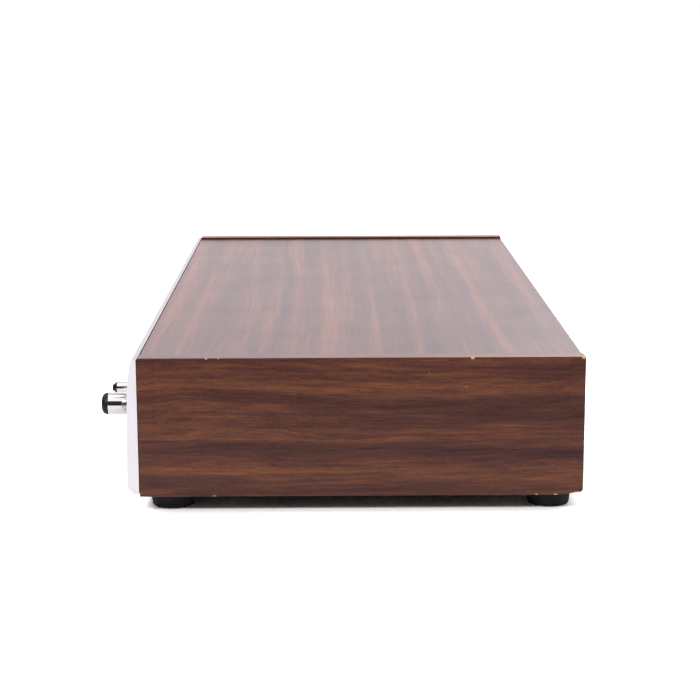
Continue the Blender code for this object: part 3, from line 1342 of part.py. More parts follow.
def comb(length, base, teeth, width, reach):
    """The outline of a strip with square teeth along its far edge, from its left end."""
    points = [(0, 0), (length, 0), (length, base + reach)]
    pitch = (length - width) / (teeth - 1)
    for index in range(teeth - 1, 0, -1):
        left = pitch * index
        right = pitch * (index - 1) + width
        points += [(left, base + reach), (left, base), (right, base), (right, base + reach)]
    points.append((0, base + reach))
    return points


def heat_sink():
    """The finned extrusion of the output stage."""
    outline = comb(SINK_WIDTH, SINK_BASE, SINK_FINS, SINK_FIN, SINK_FIN_REACH)
    middle = (SEAT + CEILING) / 2
    place = (SINK_X - SINK_WIDTH / 2, PANEL_BACK + GAP, middle)
    return keep(plate([outline], SINK_HEIGHT, place, UP), "heat_sink", DARK_METAL)


def socket_block():
    """The block of phono sockets."""
    half_width = SOCKET_HALF_WIDTH
    half_height = SOCKET_PITCH * (SOCKET_ROWS - 1) / 2 + SOCKET_MARGIN
    front = PANEL_BACK + GAP
    base = block(
        (SOCKET_X - half_width, front, REAR_FITTING_Z - half_height),
        (SOCKET_X + half_width, front + SOCKET_PLATE, REAR_FITTING_Z + half_height))
    barrels = []
    for row in range(SOCKET_ROWS):
        for column in range(SOCKET_COLUMNS):
            across = SOCKET_X + SOCKET_PITCH * (column - (SOCKET_COLUMNS - 1) / 2)
            up = REAR_FITTING_Z + SOCKET_PITCH * (row - (SOCKET_ROWS - 1) / 2)
            barrels.append((across, up))
    length = SOCKET_PLATE / 2 + SOCKET_REACH
    middle = front + SOCKET_PLATE / 2 + length / 2
    outlines = [circle(SOCKET_RADIUS, across, up, 12) for across, up in barrels]
    join(base, plate(outlines, length, (0, middle, 0), TO_FRONT))
    bores = [circle(SOCKET_BORE_RADIUS, across, up, 6) for across, up in barrels]
    cut(base, plate(bores, length, (0, middle + SOCKET_PLATE / 2, 0), TO_FRONT))
    return keep(base, "socket_block", PHENOLIC)


def screw_strip(name, middle_x, screws):
    """A barrier strip: a moulded base with a wall between the screws."""
    length = STRIP_PITCH * screws + STRIP_WALL
    left = middle_x - length / 2
    outline = comb(length, STRIP_BASE, screws + 1, STRIP_WALL, STRIP_WALL_REACH)
    front = PANEL_BACK + GAP
    strip = plate([outline], STRIP_HEIGHT, (left, front, REAR_FITTING_Z), UP)
    heads = []
    for index in range(screws):
        across = left + STRIP_WALL / 2 + STRIP_PITCH * (index + 0.5)
        heads.append(circle(STRIP_SCREW_RADIUS, across, REAR_FITTING_Z, 8))
    length = STRIP_BASE / 2 + STRIP_SCREW_REACH
    join(strip, plate(heads, length, (0, front + STRIP_BASE / 2 + length / 2, 0), TO_FRONT))
    return keep(strip, name, BLACK)


def rod_place():
    return (ROD_PIVOT_X, PANEL_BACK + ROD_SETOUT, ROD_Z)


def antenna_bracket():
    """Two ears on a foot, with the pin that the rod antenna swings on."""
    across, along, up = rod_place()
    half = ROD_BRACKET_WIDTH / 2
    reach = ROD_BLOCK / 2 + GAP
    outline = [
        (0, -reach - ROD_EAR), (ROD_SETOUT + half, -reach - ROD_EAR), (ROD_SETOUT + half, -reach),
        (ROD_EAR, -reach), (ROD_EAR, reach), (ROD_SETOUT + half, reach),
        (ROD_SETOUT + half, reach + ROD_EAR), (0, reach + ROD_EAR),
    ]
    outline = [(depth + GAP, height) for depth, height in outline]
    bracket = plate([outline], ROD_BRACKET_WIDTH, (across, PANEL_BACK, up), TO_RIGHT)
    start = (across, along, up - reach - ROD_EAR / 2)
    join(bracket, rod(ROD_PIN_RADIUS, 2 * reach + ROD_EAR, start, UP, 12))
    return keep(bracket, "antenna_bracket", BLACK)


def antenna_rod():
    """The ferrite rod in its cover, on a block that turns on the bracket's pin."""
    across, along, up = rod_place()
    half = ROD_BLOCK / 2
    hinge = block((across - half, along - half, up - half), (across + half, along + half, up + half))
    start = (across - half / 2 - ROD_LENGTH, along, up)
    facing_right = (0, math.radians(90), 0)
    join(hinge, rod(ROD_RADIUS, ROD_LENGTH, start, facing_right))
    pin_start = (across, along, up - half - OVERRUN)
    cut(hinge, rod(ROD_PIN_RADIUS + GAP, ROD_BLOCK + 2 * OVERRUN, pin_start, UP, 12))
    return keep(hinge, "antenna_rod", FERRITE)


def cord_gland():
    """The rubber gland of the mains lead, grooved to sit in the rear panel."""
    front = GAP
    back = -SHEET - GAP
    profile = [
        (GLAND_BORE_RADIUS, front + GLAND_FLANGE), (GLAND_FLANGE_RADIUS, front + GLAND_FLANGE),
        (GLAND_FLANGE_RADIUS, front), (GLAND_NECK_RADIUS, front), (GLAND_NECK_RADIUS, back),
        (GLAND_FLANGE_RADIUS, back), (GLAND_FLANGE_RADIUS, back - GLAND_FLANGE),
        (GLAND_BORE_RADIUS, back - GLAND_FLANGE),
    ]
    place = (GLAND_X, PANEL_BACK, GLAND_Z)
    return keep(turned(profile, place, TO_REAR, 12, closed=True), "cord_gland", RUBBER)


# Assembly


def front_panel():
    faceplate()
    dial_glass()
    scale_plate()
    dial_lamp("dial_lamp_left", DIAL_LEFT - LAMP_SIDE_SPACE)
    dial_lamp("dial_lamp_right", DIAL_RIGHT + LAMP_SIDE_SPACE)
    meter_case()
    meter_needle()


def tuning_drive():
    dial_pointer()
    cord_pulley("pulley_left", PULLEY_LEFT_X)
    cord_pulley("pulley_right", PULLEY_RIGHT_X)
    dial_drum()
    rotor_gear()
    rotor_plates()
    stator_plates()
    capacitor_frame()
    dial_cord()
    tuning_shaft()
    flywheel()
    tuning_bushing()
    tuning_knob()


def controls():
    for name, across in KNOB_PLACES.items():
        small_knob(f"{name}_knob", across)
        potentiometer(f"{name}_control", across)
    key_bank()
    for name, across in zip(KEY_NAMES, KEY_X):
        selector_key(f"{name}_key", across)
    power_button()
    power_switch()
    headphone_jack()


def inside():
    transformer()
    supply_can("supply_can_front", SUPPLY_CAN_Y - SUPPLY_CAN_PITCH)
    supply_can("supply_can_rear", SUPPLY_CAN_Y)
    main_board()
    amplifier_board()


def rear_fittings():
    heat_sink()
    socket_block()
    screw_strip("speaker_terminals", SPEAKER_X, SPEAKER_SCREWS)
    screw_strip("aerial_terminals", AERIAL_X, AERIAL_SCREWS)
    antenna_bracket()
    antenna_rod()
    cord_gland()


cabinet()
chassis_pan()
sub_panel()
rear_panel()
front_panel()
tuning_drive()
controls()
inside()
rear_fittings()
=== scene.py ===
import json
import math

import bmesh
import bpy
from mathutils import Matrix, Vector

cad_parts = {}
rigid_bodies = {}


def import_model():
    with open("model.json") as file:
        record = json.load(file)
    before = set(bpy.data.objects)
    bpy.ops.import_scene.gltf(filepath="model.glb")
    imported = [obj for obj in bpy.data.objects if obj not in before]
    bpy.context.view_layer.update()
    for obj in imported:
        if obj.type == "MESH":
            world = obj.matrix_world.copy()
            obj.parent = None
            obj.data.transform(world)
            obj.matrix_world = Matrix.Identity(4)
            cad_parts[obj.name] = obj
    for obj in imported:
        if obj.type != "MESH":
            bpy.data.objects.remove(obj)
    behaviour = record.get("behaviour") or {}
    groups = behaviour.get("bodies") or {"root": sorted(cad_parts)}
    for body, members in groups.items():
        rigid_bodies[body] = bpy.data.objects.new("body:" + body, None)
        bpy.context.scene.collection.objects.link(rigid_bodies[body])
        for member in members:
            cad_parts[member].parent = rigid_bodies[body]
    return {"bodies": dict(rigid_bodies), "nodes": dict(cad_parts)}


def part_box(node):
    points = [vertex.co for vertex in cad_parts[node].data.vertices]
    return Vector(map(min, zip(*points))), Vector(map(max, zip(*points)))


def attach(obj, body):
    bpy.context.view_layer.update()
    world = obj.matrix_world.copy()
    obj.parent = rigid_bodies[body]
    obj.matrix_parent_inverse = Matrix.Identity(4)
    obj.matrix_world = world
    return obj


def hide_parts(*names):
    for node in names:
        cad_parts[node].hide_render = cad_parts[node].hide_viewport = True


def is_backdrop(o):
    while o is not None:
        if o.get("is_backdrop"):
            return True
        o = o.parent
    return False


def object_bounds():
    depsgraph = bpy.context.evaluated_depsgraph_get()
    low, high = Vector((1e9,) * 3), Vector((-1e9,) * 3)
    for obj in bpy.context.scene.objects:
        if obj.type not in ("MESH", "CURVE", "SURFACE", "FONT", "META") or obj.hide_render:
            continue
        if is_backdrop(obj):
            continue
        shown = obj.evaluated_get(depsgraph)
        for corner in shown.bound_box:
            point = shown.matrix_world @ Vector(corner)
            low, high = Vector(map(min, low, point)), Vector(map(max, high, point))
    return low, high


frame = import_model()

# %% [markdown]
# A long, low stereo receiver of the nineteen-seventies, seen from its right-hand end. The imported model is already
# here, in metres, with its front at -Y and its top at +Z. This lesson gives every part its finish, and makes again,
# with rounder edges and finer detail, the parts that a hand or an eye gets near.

cad_low, cad_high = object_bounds()
scene = bpy.context.scene
MM = 0.001
print("model", [round(side / MM, 1) for side in cad_high - cad_low], "mm")

# %% [markdown]
# The camera stands where the photographer stood: level with the middle of the right side board, a little above it.
# Eight edges of the cabinet in the photograph gave its place and turn. The long lens keeps the far end of the cabinet
# nearly as large as the near end.

# %% The camera
PHOTO_SIDE = 700
FOCAL_LENGTH_IN_PIXELS = 1696.53
SENSOR_WIDTH = 36
STAND = Vector((1.08415, -0.002276, 0.265982))
YAW, PITCH, ROLL = 0.0107734, 0.2047733, -0.0021540

ahead = Vector((-math.cos(PITCH) * math.cos(YAW), math.cos(PITCH) * math.sin(YAW), -math.sin(PITCH)))
level = Vector((math.sin(YAW), math.cos(YAW), 0))
upright = level.cross(ahead)
across = level * math.cos(ROLL) + upright * math.sin(ROLL)
above = upright * math.cos(ROLL) - level * math.sin(ROLL)
lens = bpy.data.cameras.new("photo_lens")
lens.sensor_width = SENSOR_WIDTH
lens.lens = SENSOR_WIDTH * FOCAL_LENGTH_IN_PIXELS / PHOTO_SIDE
lens.clip_start = 10 * MM
camera = bpy.data.objects.new("photo_camera", lens)
scene.collection.objects.link(camera)
turn = Matrix((across, above, -ahead)).transposed()
camera.matrix_world = Matrix.Translation(STAND) @ turn.to_4x4()
scene.camera = camera
scene.view_settings.view_transform = "Standard"
print("lens", round(lens.lens, 1), "mm at", [round(value, 3) for value in STAND])

# %% [markdown]
# The finishes come before the shapes, so that each new piece can be given one at once. A finish is a small net of
# nodes. Helpers keep the nets short: they start a finish, add a node and feed it, or make a kind of node that comes
# back often.

# %% Helpers for the finishes
finishes = {}


def feed(net, socket, value):
    """Puts a number, a colour or another node's result into a socket."""
    if isinstance(value, bpy.types.Node):
        value = value.outputs[0]
    if isinstance(value, bpy.types.NodeSocket):
        net.node_tree.links.new(value, socket)
    elif socket.type == "RGBA":
        socket.default_value = (*value, 1)
    else:
        socket.default_value = value


def add(net, kind, inputs=None, **settings):
    made = net.node_tree.nodes.new("ShaderNode" + kind)
    for setting, value in settings.items():
        setattr(made, setting, value)
    for socket, value in (inputs or {}).items():
        feed(net, made.inputs[socket], value)
    return made


def paint(net, **inputs):
    """Feeds the finish's own shader."""
    shader = net.node_tree.nodes["Principled BSDF"]
    for socket, value in inputs.items():
        feed(net, shader.inputs[socket.replace("_", " ")], value)
    return net


def start(name, colour, rough, metal=0, **more):
    """A new finish. The values that are the same all over go straight on the shader."""
    net = finishes[name] = bpy.data.materials.new(name)
    net.use_nodes = True
    net.diffuse_color = (*colour, 1)
    return paint(net, Base_Color=colour, Roughness=rough, Metallic=metal, **more)


def places(net):
    """The place of each point on the object."""
    return add(net, "TexCoord").outputs["Object"]


def noise(net, vector, scale, detail, rough=0.6):
    made = add(net, "TexNoise", {"Vector": vector, "Scale": scale, "Detail": detail, "Roughness": rough})
    return made.outputs["Fac"]


def sum_of(net, kind, *values):
    return add(net, "Math", dict(enumerate(values)), operation=kind)


def spread(net, value, low, high, to_low=0, to_high=1):
    """Stretches a value so that low to high becomes to_low to to_high."""
    return add(net, "MapRange", dict(enumerate((value, low, high, to_low, to_high))))


def ramp(net, value, *stops):
    made = add(net, "ValToRGB", {"Fac": value})
    elements = made.color_ramp.elements
    while len(elements) < len(stops):
        elements.new(0.5)
    for element, (at, colour) in zip(elements, stops):
        element.position, element.color = at, (*colour, 1)
    return made


def mixed(net, share, first, second, kind="MIX"):
    """Two colours in one. 6 and 7 are the node's sockets for colours."""
    return add(net, "Mix", {0: share, 6: first, 7: second}, data_type="RGBA", blend_type=kind).outputs[2]


def toned(net, colour, tone):
    """A colour made lighter or darker by a value near one."""
    return mixed(net, 1, colour, add(net, "CombineXYZ", {0: tone, 1: tone, 2: tone}), "MULTIPLY")


def relief(net, height, depth, strength):
    """Light falls as if the surface rose and fell. depth is in millimetres."""
    return add(net, "Bump", {"Height": height, "Distance": depth * MM, "Strength": strength})


def linear(red, green, blue):
    """A colour as picked from a screen, as light."""
    return tuple(((v / 255 + 0.055) / 1.055) ** 2.4 if v > 10 else v / 255 / 12.92 for v in (red, green, blue))


# %% [markdown]
# The cabinet is particle board wrapped in printed vinyl that looks like walnut. Its grain is three things on top of
# each other: broad bands of lighter and darker wood, fine streaks along the board, and short dark pores. All three
# are noises pulled out along the grain, and two slower noises bend them so that no band runs straight. Tan board
# shows where the vinyl has chipped off at the edges. The top is glossier than the sides, and its reflection has a
# painted rosy tint, which stands in for the rosy cast of the studio light.

# %% The walnut vinyl
WALNUT = (linear(52, 26, 26), linear(83, 45, 36), linear(128, 76, 46))
WALNUT_LID = (linear(54, 30, 28), linear(84, 48, 40), linear(132, 78, 52))
BARE_BOARD = linear(206, 160, 112)
# The rosy tint is painted onto the reflection of the tops, and stands in for the rosy cast of the studio light.
PLAIN_GLOSS, PAINTED_ROSY_REFLECTION = (1, 1, 1), (1, 0.71, 0.79)
SLOW_BEND, QUICK_BEND = 0.02, 0.005
STREAK_SHARE, TONE_REACH = 0.8, 0.27
TONES_AT = (0, 0.45, 1)


def walnut(name, along, tones, chips=(), long=1, seed=0, gloss=0.3, shine=0.5, contrast=1, depth=0.35,
           tint=PLAIN_GLOSS):
    """along is the axis of the grain, 0 for X and 1 for Y. chips are (place, radius) where the board shows."""
    net = start(name, tones[1], gloss, IOR=1.5, Specular_IOR_Level=shine, Specular_Tint=tint)
    where = places(net)

    def pulled(vector, length, width, shift, detail, rough=0.5):
        """A noise of spots so long along the grain and so wide across it, in metres."""
        scale = [1 / width] * 3
        scale[along] = 1 / (length * long)
        moved = add(net, "Mapping", {"Vector": vector, "Scale": scale, "Location": shift})
        return noise(net, moved, 1, detail, rough)

    slow = pulled(where, 1 / 5, 1 / 9, (seed, seed, 0), 2)
    quick = pulled(where, 1 / 20, 1 / 30, (0, seed, seed), 3)
    bend = sum_of(net, "ADD", sum_of(net, "MULTIPLY_ADD", slow, SLOW_BEND, -SLOW_BEND / 2),
                  sum_of(net, "MULTIPLY_ADD", quick, QUICK_BEND, -QUICK_BEND / 2))
    sideways = add(net, "CombineXYZ", {1 - along: bend, 2: bend})
    bent = add(net, "VectorMath", {0: where, 1: sideways}, operation="ADD")
    bands = pulled(bent, 0.26, 0.0105, (3.1, 3.1 + seed, 3.1), 2.5, 0.55)
    streaks = pulled(bent, 0.03, 0.0015, (7.7, 7.7 + seed, 7.7), 5, 0.72)
    pores = pulled(bent, 0.0034, 0.00045, (11.3, 11.3 + seed, 11.3), 3, 0.6)
    tone = sum_of(net, "MULTIPLY_ADD", sum_of(net, "SUBTRACT", streaks, 0.5), STREAK_SHARE * contrast, bands)
    tone = spread(net, tone, 0.5 - TONE_REACH / contrast, 0.5 + TONE_REACH / contrast)
    colour = toned(net, ramp(net, tone, *zip(TONES_AT, tones)), spread(net, pores, 0.3, 0.5, 0.66, 1.03))
    ragged = noise(net, where, 900, 3)
    for at, radius in chips:
        far = add(net, "VectorMath", {0: where, 1: at}, operation="DISTANCE").outputs["Value"]
        near = sum_of(net, "MULTIPLY_ADD", ragged, radius * 1.2, sum_of(net, "SUBTRACT", far, radius * 1.1))
        colour = mixed(net, spread(net, near, radius * 0.9, radius * 0.3), colour, BARE_BOARD)
    smudge = spread(net, noise(net, where, 22, 3), 0.3, 0.7, gloss - 0.01, gloss + 0.02)
    grain = sum_of(net, "ADD", spread(net, pores, 0.3, 0.45), spread(net, streaks, 0.2, 0.8, 0, 0.4))
    return paint(net, Base_Color=colour, Roughness=smudge, Normal=relief(net, grain, 0.04, depth))


print("walnut from", [round(part, 3) for part in WALNUT[0]], "to", [round(part, 3) for part in WALNUT[2]])

# %% [markdown]
# Most of the other finishes are one colour that is never quite even: a slow noise for handling marks, a fine one for
# the surface itself, and a little relief. Brushed metal has its fine noise pulled out along the brushing. Each finish
# keeps its roughness on one side of 0.27, because the picture is cleaned in a different way on each side of that
# value, and a finish that wanders across it comes out with dark crumbs.

# %% One recipe for metals, plastics, rubber and paper
EVEN, ALONG_X, ALONG_Y, ALONG_Z = (1, 1, 1), (0.02, 1, 1), (1, 0.02, 1), (1, 1, 0.02)
DUST = linear(150, 143, 134)


def surface(name, colour, rough, metal, fine, fine_share, slow_share, rough_share, depth=0.02, strength=0.3,
            dust=0, stretch=EVEN, **more):
    """fine is how many spots go into a metre. Each share is how far a noise moves its value."""
    net = start(name, linear(*colour), rough, metal, **more)
    where = places(net)
    pulled = add(net, "Mapping", {"Vector": where, "Scale": tuple(fine * share for share in stretch)})
    fine_noise = noise(net, pulled, 1, 3)
    tone = sum_of(net, "ADD", spread(net, fine_noise, 0.25, 0.75, 1 - fine_share, 1 + fine_share),
                  spread(net, noise(net, where, 28, 3), 0.3, 0.7, -slow_share, slow_share))
    shaded = toned(net, linear(*colour), tone)
    if dust:
        shaded = mixed(net, spread(net, noise(net, where, 160, 4, 0.7), 0.5, 0.8, 0, dust), shaded, DUST)
    off = rough * rough_share
    smear = spread(net, noise(net, where, 45, 4, 0.65), 0.3, 0.7, rough - off, rough + off)
    gloss = sum_of(net, "ADD", smear, spread(net, fine_noise, 0.2, 0.8, 0, off))
    return paint(net, Base_Color=shaded, Roughness=gloss, Normal=relief(net, fine_noise, depth, strength))


# Each row: name, colour, rough, metal, fine, its share, slow share, rough share, depth, strength, dust, stretch
for row_of_values in (
    ("brushed_aluminium", (200, 198, 202), 0.32, 1, 2600, 0.05, 0.02, 0.08, 0.012, 0.25, 0, ALONG_X),
    # The plate's cut end is rougher and less metallic than its brushed face, and its pale rosy colour is painted light
    # standing in for the brightly lit end.
    ("aluminium_edge", (237, 231, 238), 0.42, 0.12, 1500, 0.03, 0.02, 0.15, 0.006, 0.2),
    ("chrome", (232, 230, 232), 0.055, 1, 1800, 0.02, 0.01, 0.3, 0.003, 0.15, 0, ALONG_Y),
    ("spun_aluminium", (222, 219, 223), 0.22, 1, 1600, 0.04, 0.02, 0.1, 0.008, 0.2),
    ("brass", (196, 160, 92), 0.34, 1, 1500, 0.06, 0.1, 0.15, 0.01, 0.3),
    ("nickel", (205, 200, 192), 0.2, 1, 1500, 0.04, 0.06, 0.15, 0.008, 0.3),
    ("black_plastic", (27, 26, 27), 0.42, 0, 2200, 0.12, 0.12, 0.15, 0.03, 0.35, 0.05),
    ("black_rubber", (24, 23, 23), 0.72, 0, 1500, 0.15, 0.15, 0.1, 0.05, 0.5, 0.1),
    ("black_anodised", (31, 31, 33), 0.4, 0.6, 2400, 0.1, 0.08, 0.15, 0.01, 0.3, 0.04, ALONG_Z),
    ("white_enamel", (226, 222, 210), 0.38, 0, 1200, 0.03, 0.03, 0.1),
    ("printed_white", (228, 228, 224), 0.55, 0, 2500, 0.04, 0.02, 0.1),
    ("printed_black", (24, 24, 26), 0.45, 0, 2500, 0.1, 0.05, 0.1),
    ("printed_amber", (226, 150, 62), 0.5, 0, 2500, 0.05, 0.03, 0.1),
    ("phenolic", (120, 74, 40), 0.45, 0, 700, 0.14, 0.1, 0.15),
    ("ferrite_rod_cover", (34, 32, 32), 0.4, 0, 900, 0.12, 0.08, 0.15, 0.03, 0.3, 0, ALONG_X),
    ("socket_red", (168, 30, 24), 0.36, 0, 1500, 0.08, 0.06, 0.1),
    ("socket_white", (214, 210, 200), 0.36, 0, 1500, 0.05, 0.05, 0.1),
    ("winding_wrap", (172, 132, 66), 0.42, 0, 900, 0.08, 0.12, 0.15),
    ("dial_card", (30, 32, 34), 0.5, 0, 1500, 0.08, 0.05, 0.1, 0.01, 0.2),
):
    surface(*row_of_values)
surface("knob_black", (16, 14, 15), 0.34, 0, 1400, 0.15, 0.1, 0.12, 0.01, 0.2, Specular_IOR_Level=0.3)
# The red of the dial pointer and the meter needle carries a faint painted glow, though neither is a lamp.
surface("pointer_red", (206, 46, 26), 0.34, 0, 900, 0.05, 0.04, 0.1, Emission_Strength=0.15)
surface("smoked_acrylic", (224, 216, 204), 0.06, 0, 500, 0.02, 0.02, 0.3, 0.002, 0.1, Transmission_Weight=1,
        IOR=1.49)
surface("lamp_glass", (250, 232, 190), 0.12, 0, 700, 0.03, 0.03, 0.2, Transmission_Weight=0.6, IOR=1.5)
print(len(finishes), "finishes")

# %% [markdown]
# Some finishes have a pattern of their own: the faint crystals of zinc on steel, copper tracks under green lacquer, a
# core of thin sheets with a wrapped coil, and a twisted cord.

# %% Steel, circuit board, core, coil and cord
CORE_SHEET, COIL_TURN, CORD_LAY = 0.0007, 0.006, 0.0006

# The pan is zinc-plated steel, but its colour is darkened to near black: painted shade that keeps the gap under the
# cabinet dark.
for name, colour, crystals in (("zinc_plated_steel", (186, 186, 180), 320), ("pan_steel", (46, 46, 46), 320),
                               ("lamination_steel", (112, 106, 102), 60)):
    steel = surface(name, colour, 0.36, 1, 1500, 0.05, 0.05, 0.2, 0.01, 0.3, 0.04)
    cells = add(steel, "TexVoronoi", {"Vector": places(steel), "Scale": crystals})
    plain = steel.node_tree.nodes["Principled BSDF"].inputs["Base Color"].links[0].from_socket
    paint(steel, Base_Color=toned(steel, plain, spread(steel, cells.outputs["Color"], 0, 1, 0.93, 1.05)))


def stripes(name, pitch, edge, depth):
    """Sunken stripes up the object, one to each pitch, each as thick as edge says."""
    net = finishes[name]
    height = add(net, "SeparateXYZ", {0: places(net)}).outputs["Z"]
    turns = sum_of(net, "FRACT", sum_of(net, "DIVIDE", height, pitch))
    paint(net, Normal=relief(net, sum_of(net, "LESS_THAN", turns, edge), depth, 0.6))


stripes("lamination_steel", CORE_SHEET, 0.8, 0.1)
stripes("winding_wrap", COIL_TURN, 0.12, 0.2)

board = start("circuit_board", linear(44, 92, 52), 0.34, IOR=1.5)
where = places(board)
tracks = add(board, "TexBrick", {
    "Vector": where, "Scale": 1, "Mortar Size": 0.0011, "Mortar Smooth": 0.1, "Brick Width": 0.0162,
    "Row Height": 0.0058, "Color1": linear(44, 98, 52), "Color2": linear(38, 84, 46), "Mortar": linear(96, 138, 72)})
blotch = spread(board, noise(board, where, 60, 4), 0.3, 0.7, 0.8, 1.15)
paint(board, Base_Color=toned(board, tracks.outputs["Color"], blotch),
      Normal=relief(board, tracks.outputs["Fac"], 0.06, 0.5),
      Roughness=spread(board, noise(board, where, 300, 3), 0.3, 0.7, 0.28, 0.42))

string = start("dial_cord", linear(206, 198, 176), 0.8)
apart = add(string, "SeparateXYZ", {0: places(string)}).outputs
twist = sum_of(string, "ADD", sum_of(string, "ADD", apart["X"], apart["Z"]), apart["Y"])
lay = sum_of(string, "PINGPONG", sum_of(string, "DIVIDE", twist, CORD_LAY), 1)
strands = ramp(string, lay, (0, linear(160, 148, 122)), (0.6, linear(216, 209, 190)))
paint(string, Base_Color=strands, Normal=relief(string, lay, 0.08, 0.8))
print(len(finishes), "finishes")

# %% [markdown]
# The photograph's background is pure white, and its light is soft and comes from above. Three broad suns and a pale
# sky give that. The sky and the floor are brighter only where the camera looks straight at them. Polished parts
# mirror a studio instead: a pale wall on the far side, an unlit room behind the camera and in front of the faceplate,
# a grey ceiling, and a table that ends in the dark. They give the knobs their dark bands and the lid its soft grey.

# %% Sky, suns and floor
SKY_AT_FLOOR, SKY_OVERHEAD = 0, 1.1
SKY_FROM, SKY_TO = 0.28, 0.8
DARK_FROM, DARK_TO, DARK_SIDE, DARK_FRONT = -0.1, 0.6, 0.76, 0.82
CEILING_FROM, CEILING_BEHIND, CEILING_AHEAD = 0.62, -0.75, 0.32
UNLIT, PALE_WALL, CEILING = (0.03, 0.028, 0.03), (1, 0.955, 0.995), (0.3, 0.25, 0.23)
world = scene.world or bpy.data.worlds.new("studio")
scene.world = world
world.use_nodes = True
world.node_tree.nodes.clear()
ray = add(world, "LightPath").outputs
toward = add(world, "SeparateXYZ", {0: add(world, "TexCoord").outputs["Generated"]}).outputs


def both(net, first, second):
    return sum_of(net, "MULTIPLY", first, second)


def either(net, first, second):
    return sum_of(net, "MAXIMUM", first, second)


def over(net, value, limit):
    return sum_of(net, "GREATER_THAN", value, limit)


def under(net, value, limit):
    return sum_of(net, "LESS_THAN", value, limit)


def swapped(net, share, first, second):
    """The first shader where share is 0, and the second where it is 1."""
    return add(net, "MixShader", {0: share, 1: first, 2: second})


def light(strength, colour=(1, 1, 1)):
    return add(world, "Background", {"Color": colour, "Strength": strength})


room_height = both(world, over(world, toward["Z"], DARK_FROM), under(world, toward["Z"], DARK_TO))
room_side = either(world, over(world, toward["X"], DARK_SIDE), under(world, toward["Y"], -DARK_FRONT))
dark_room = both(world, both(world, room_height, room_side), ray["Is Glossy Ray"])
overhead = both(world, over(world, toward["X"], CEILING_BEHIND), under(world, toward["X"], CEILING_AHEAD))
high_up = both(world, over(world, toward["Z"], CEILING_FROM), ray["Is Glossy Ray"])
mirrored = either(world, ray["Is Glossy Ray"], ray["Is Transmission Ray"])
sky = light(spread(world, toward["Z"], SKY_FROM, SKY_TO, SKY_AT_FLOOR, SKY_OVERHEAD))
sky = swapped(world, ray["Is Camera Ray"], sky, light(1))
sky = swapped(world, mirrored, sky, light(1.22, PALE_WALL))
sky = swapped(world, dark_room, sky, light(1, UNLIT))
sky = swapped(world, both(world, overhead, high_up), sky, light(1, CEILING))
add(world, "OutputWorld", {"Surface": sky})


def sun(name, direction, strength, softness):
    """A lamp that shines from that direction."""
    lamp = bpy.data.lights.new(name, "SUN")
    lamp.energy, lamp.angle = strength, math.radians(softness)
    holder = bpy.data.objects.new(name, lamp)
    holder.rotation_mode = "QUATERNION"
    holder.rotation_quaternion = Vector(direction).to_track_quat("Z", "Y")
    scene.collection.objects.link(holder)


sun("key_by_the_camera", (0.8, -0.3, 0.64), 1.45, 8)
sun("overhead", (-0.1, -0.35, 0.93), 0.75, 60)
sun("behind", (-0.8, 0.5, 0.36), 0.35, 50)

FLOOR_SIDE = 40
TABLE_SIDE, TABLE_FRONT = 0.45, -0.6
EXTRA_WHITE = (1.35, 1.35, 1.35)
bpy.ops.object.select_all(action="DESELECT")
bpy.ops.mesh.primitive_plane_add(size=FLOOR_SIDE, location=(0, 0, 0))
floor = bpy.context.active_object
floor.name = "floor"
floor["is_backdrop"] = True
paper = start("floor_paper", (0.86, 0.86, 0.86), 0.9, Specular_IOR_Level=0)
spot = places(paper)
paint(paper, Base_Color=toned(paper, (1, 1, 1), spread(paper, noise(paper, spot, 40, 3, 0.5), 0.3, 0.7, 0.85, 0.87)))
ray = add(paper, "LightPath").outputs
once = paper.node_tree.nodes["Principled BSDF"]
twice = add(paper, "AddShader", {0: once, 1: add(paper, "BsdfDiffuse", {"Color": EXTRA_WHITE})})
seen = swapped(paper, ray["Is Camera Ray"], once, twice)
spot = add(paper, "SeparateXYZ", {0: spot}).outputs
beyond = either(paper, over(paper, spot["X"], TABLE_SIDE), under(paper, spot["Y"], TABLE_FRONT))
carpet = add(paper, "BsdfDiffuse", {"Color": UNLIT})
ended = swapped(paper, both(paper, beyond, ray["Is Glossy Ray"]), seen, carpet)
feed(paper, paper.node_tree.nodes["Material Output"].inputs["Surface"], ended)
floor.data.materials.append(paper)
print("floor", FLOOR_SIDE, "m, sky", SKY_AT_FLOOR, "to", SKY_OVERHEAD)

# %% [markdown]
# New pieces are made as by hand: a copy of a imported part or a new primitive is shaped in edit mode. A copy is first
# merged into one skin and its flat triangles are joined, so that its real edges can be rounded.

# %% Helpers for the pieces


def deselect():
    bpy.ops.object.select_all(action="DESELECT")


def active():
    return bpy.context.active_object


def only(piece):
    """Selects one piece and nothing else."""
    deselect()
    piece.select_set(True)
    bpy.context.view_layer.objects.active = piece


def edit(piece, kind="EDGE"):
    only(piece)
    bpy.ops.object.mode_set(mode="EDIT")
    bpy.ops.mesh.select_mode(type=kind)
    bpy.ops.mesh.select_all(action="SELECT")


def done():
    bpy.ops.object.mode_set(mode="OBJECT")
    return active()


def pick(test, kind="VERT"):
    """Selects the corners, edges or faces for which test is true, in edit mode."""
    skin = bmesh.from_edit_mesh(bpy.context.edit_object.data)
    bpy.ops.mesh.select_mode(type=kind)
    for part in (*skin.verts, *skin.edges, *skin.faces):
        part.select = False
    for part in {"VERT": skin.verts, "EDGE": skin.edges, "FACE": skin.faces}[kind]:
        if test(part):
            part.select_set(True)
    skin.select_flush_mode()
    bmesh.update_edit_mesh(bpy.context.edit_object.data)


def settled(piece):
    """Moves a piece's own place into its mesh."""
    only(piece)
    bpy.ops.object.transform_apply(location=True, rotation=True, scale=True)
    return piece


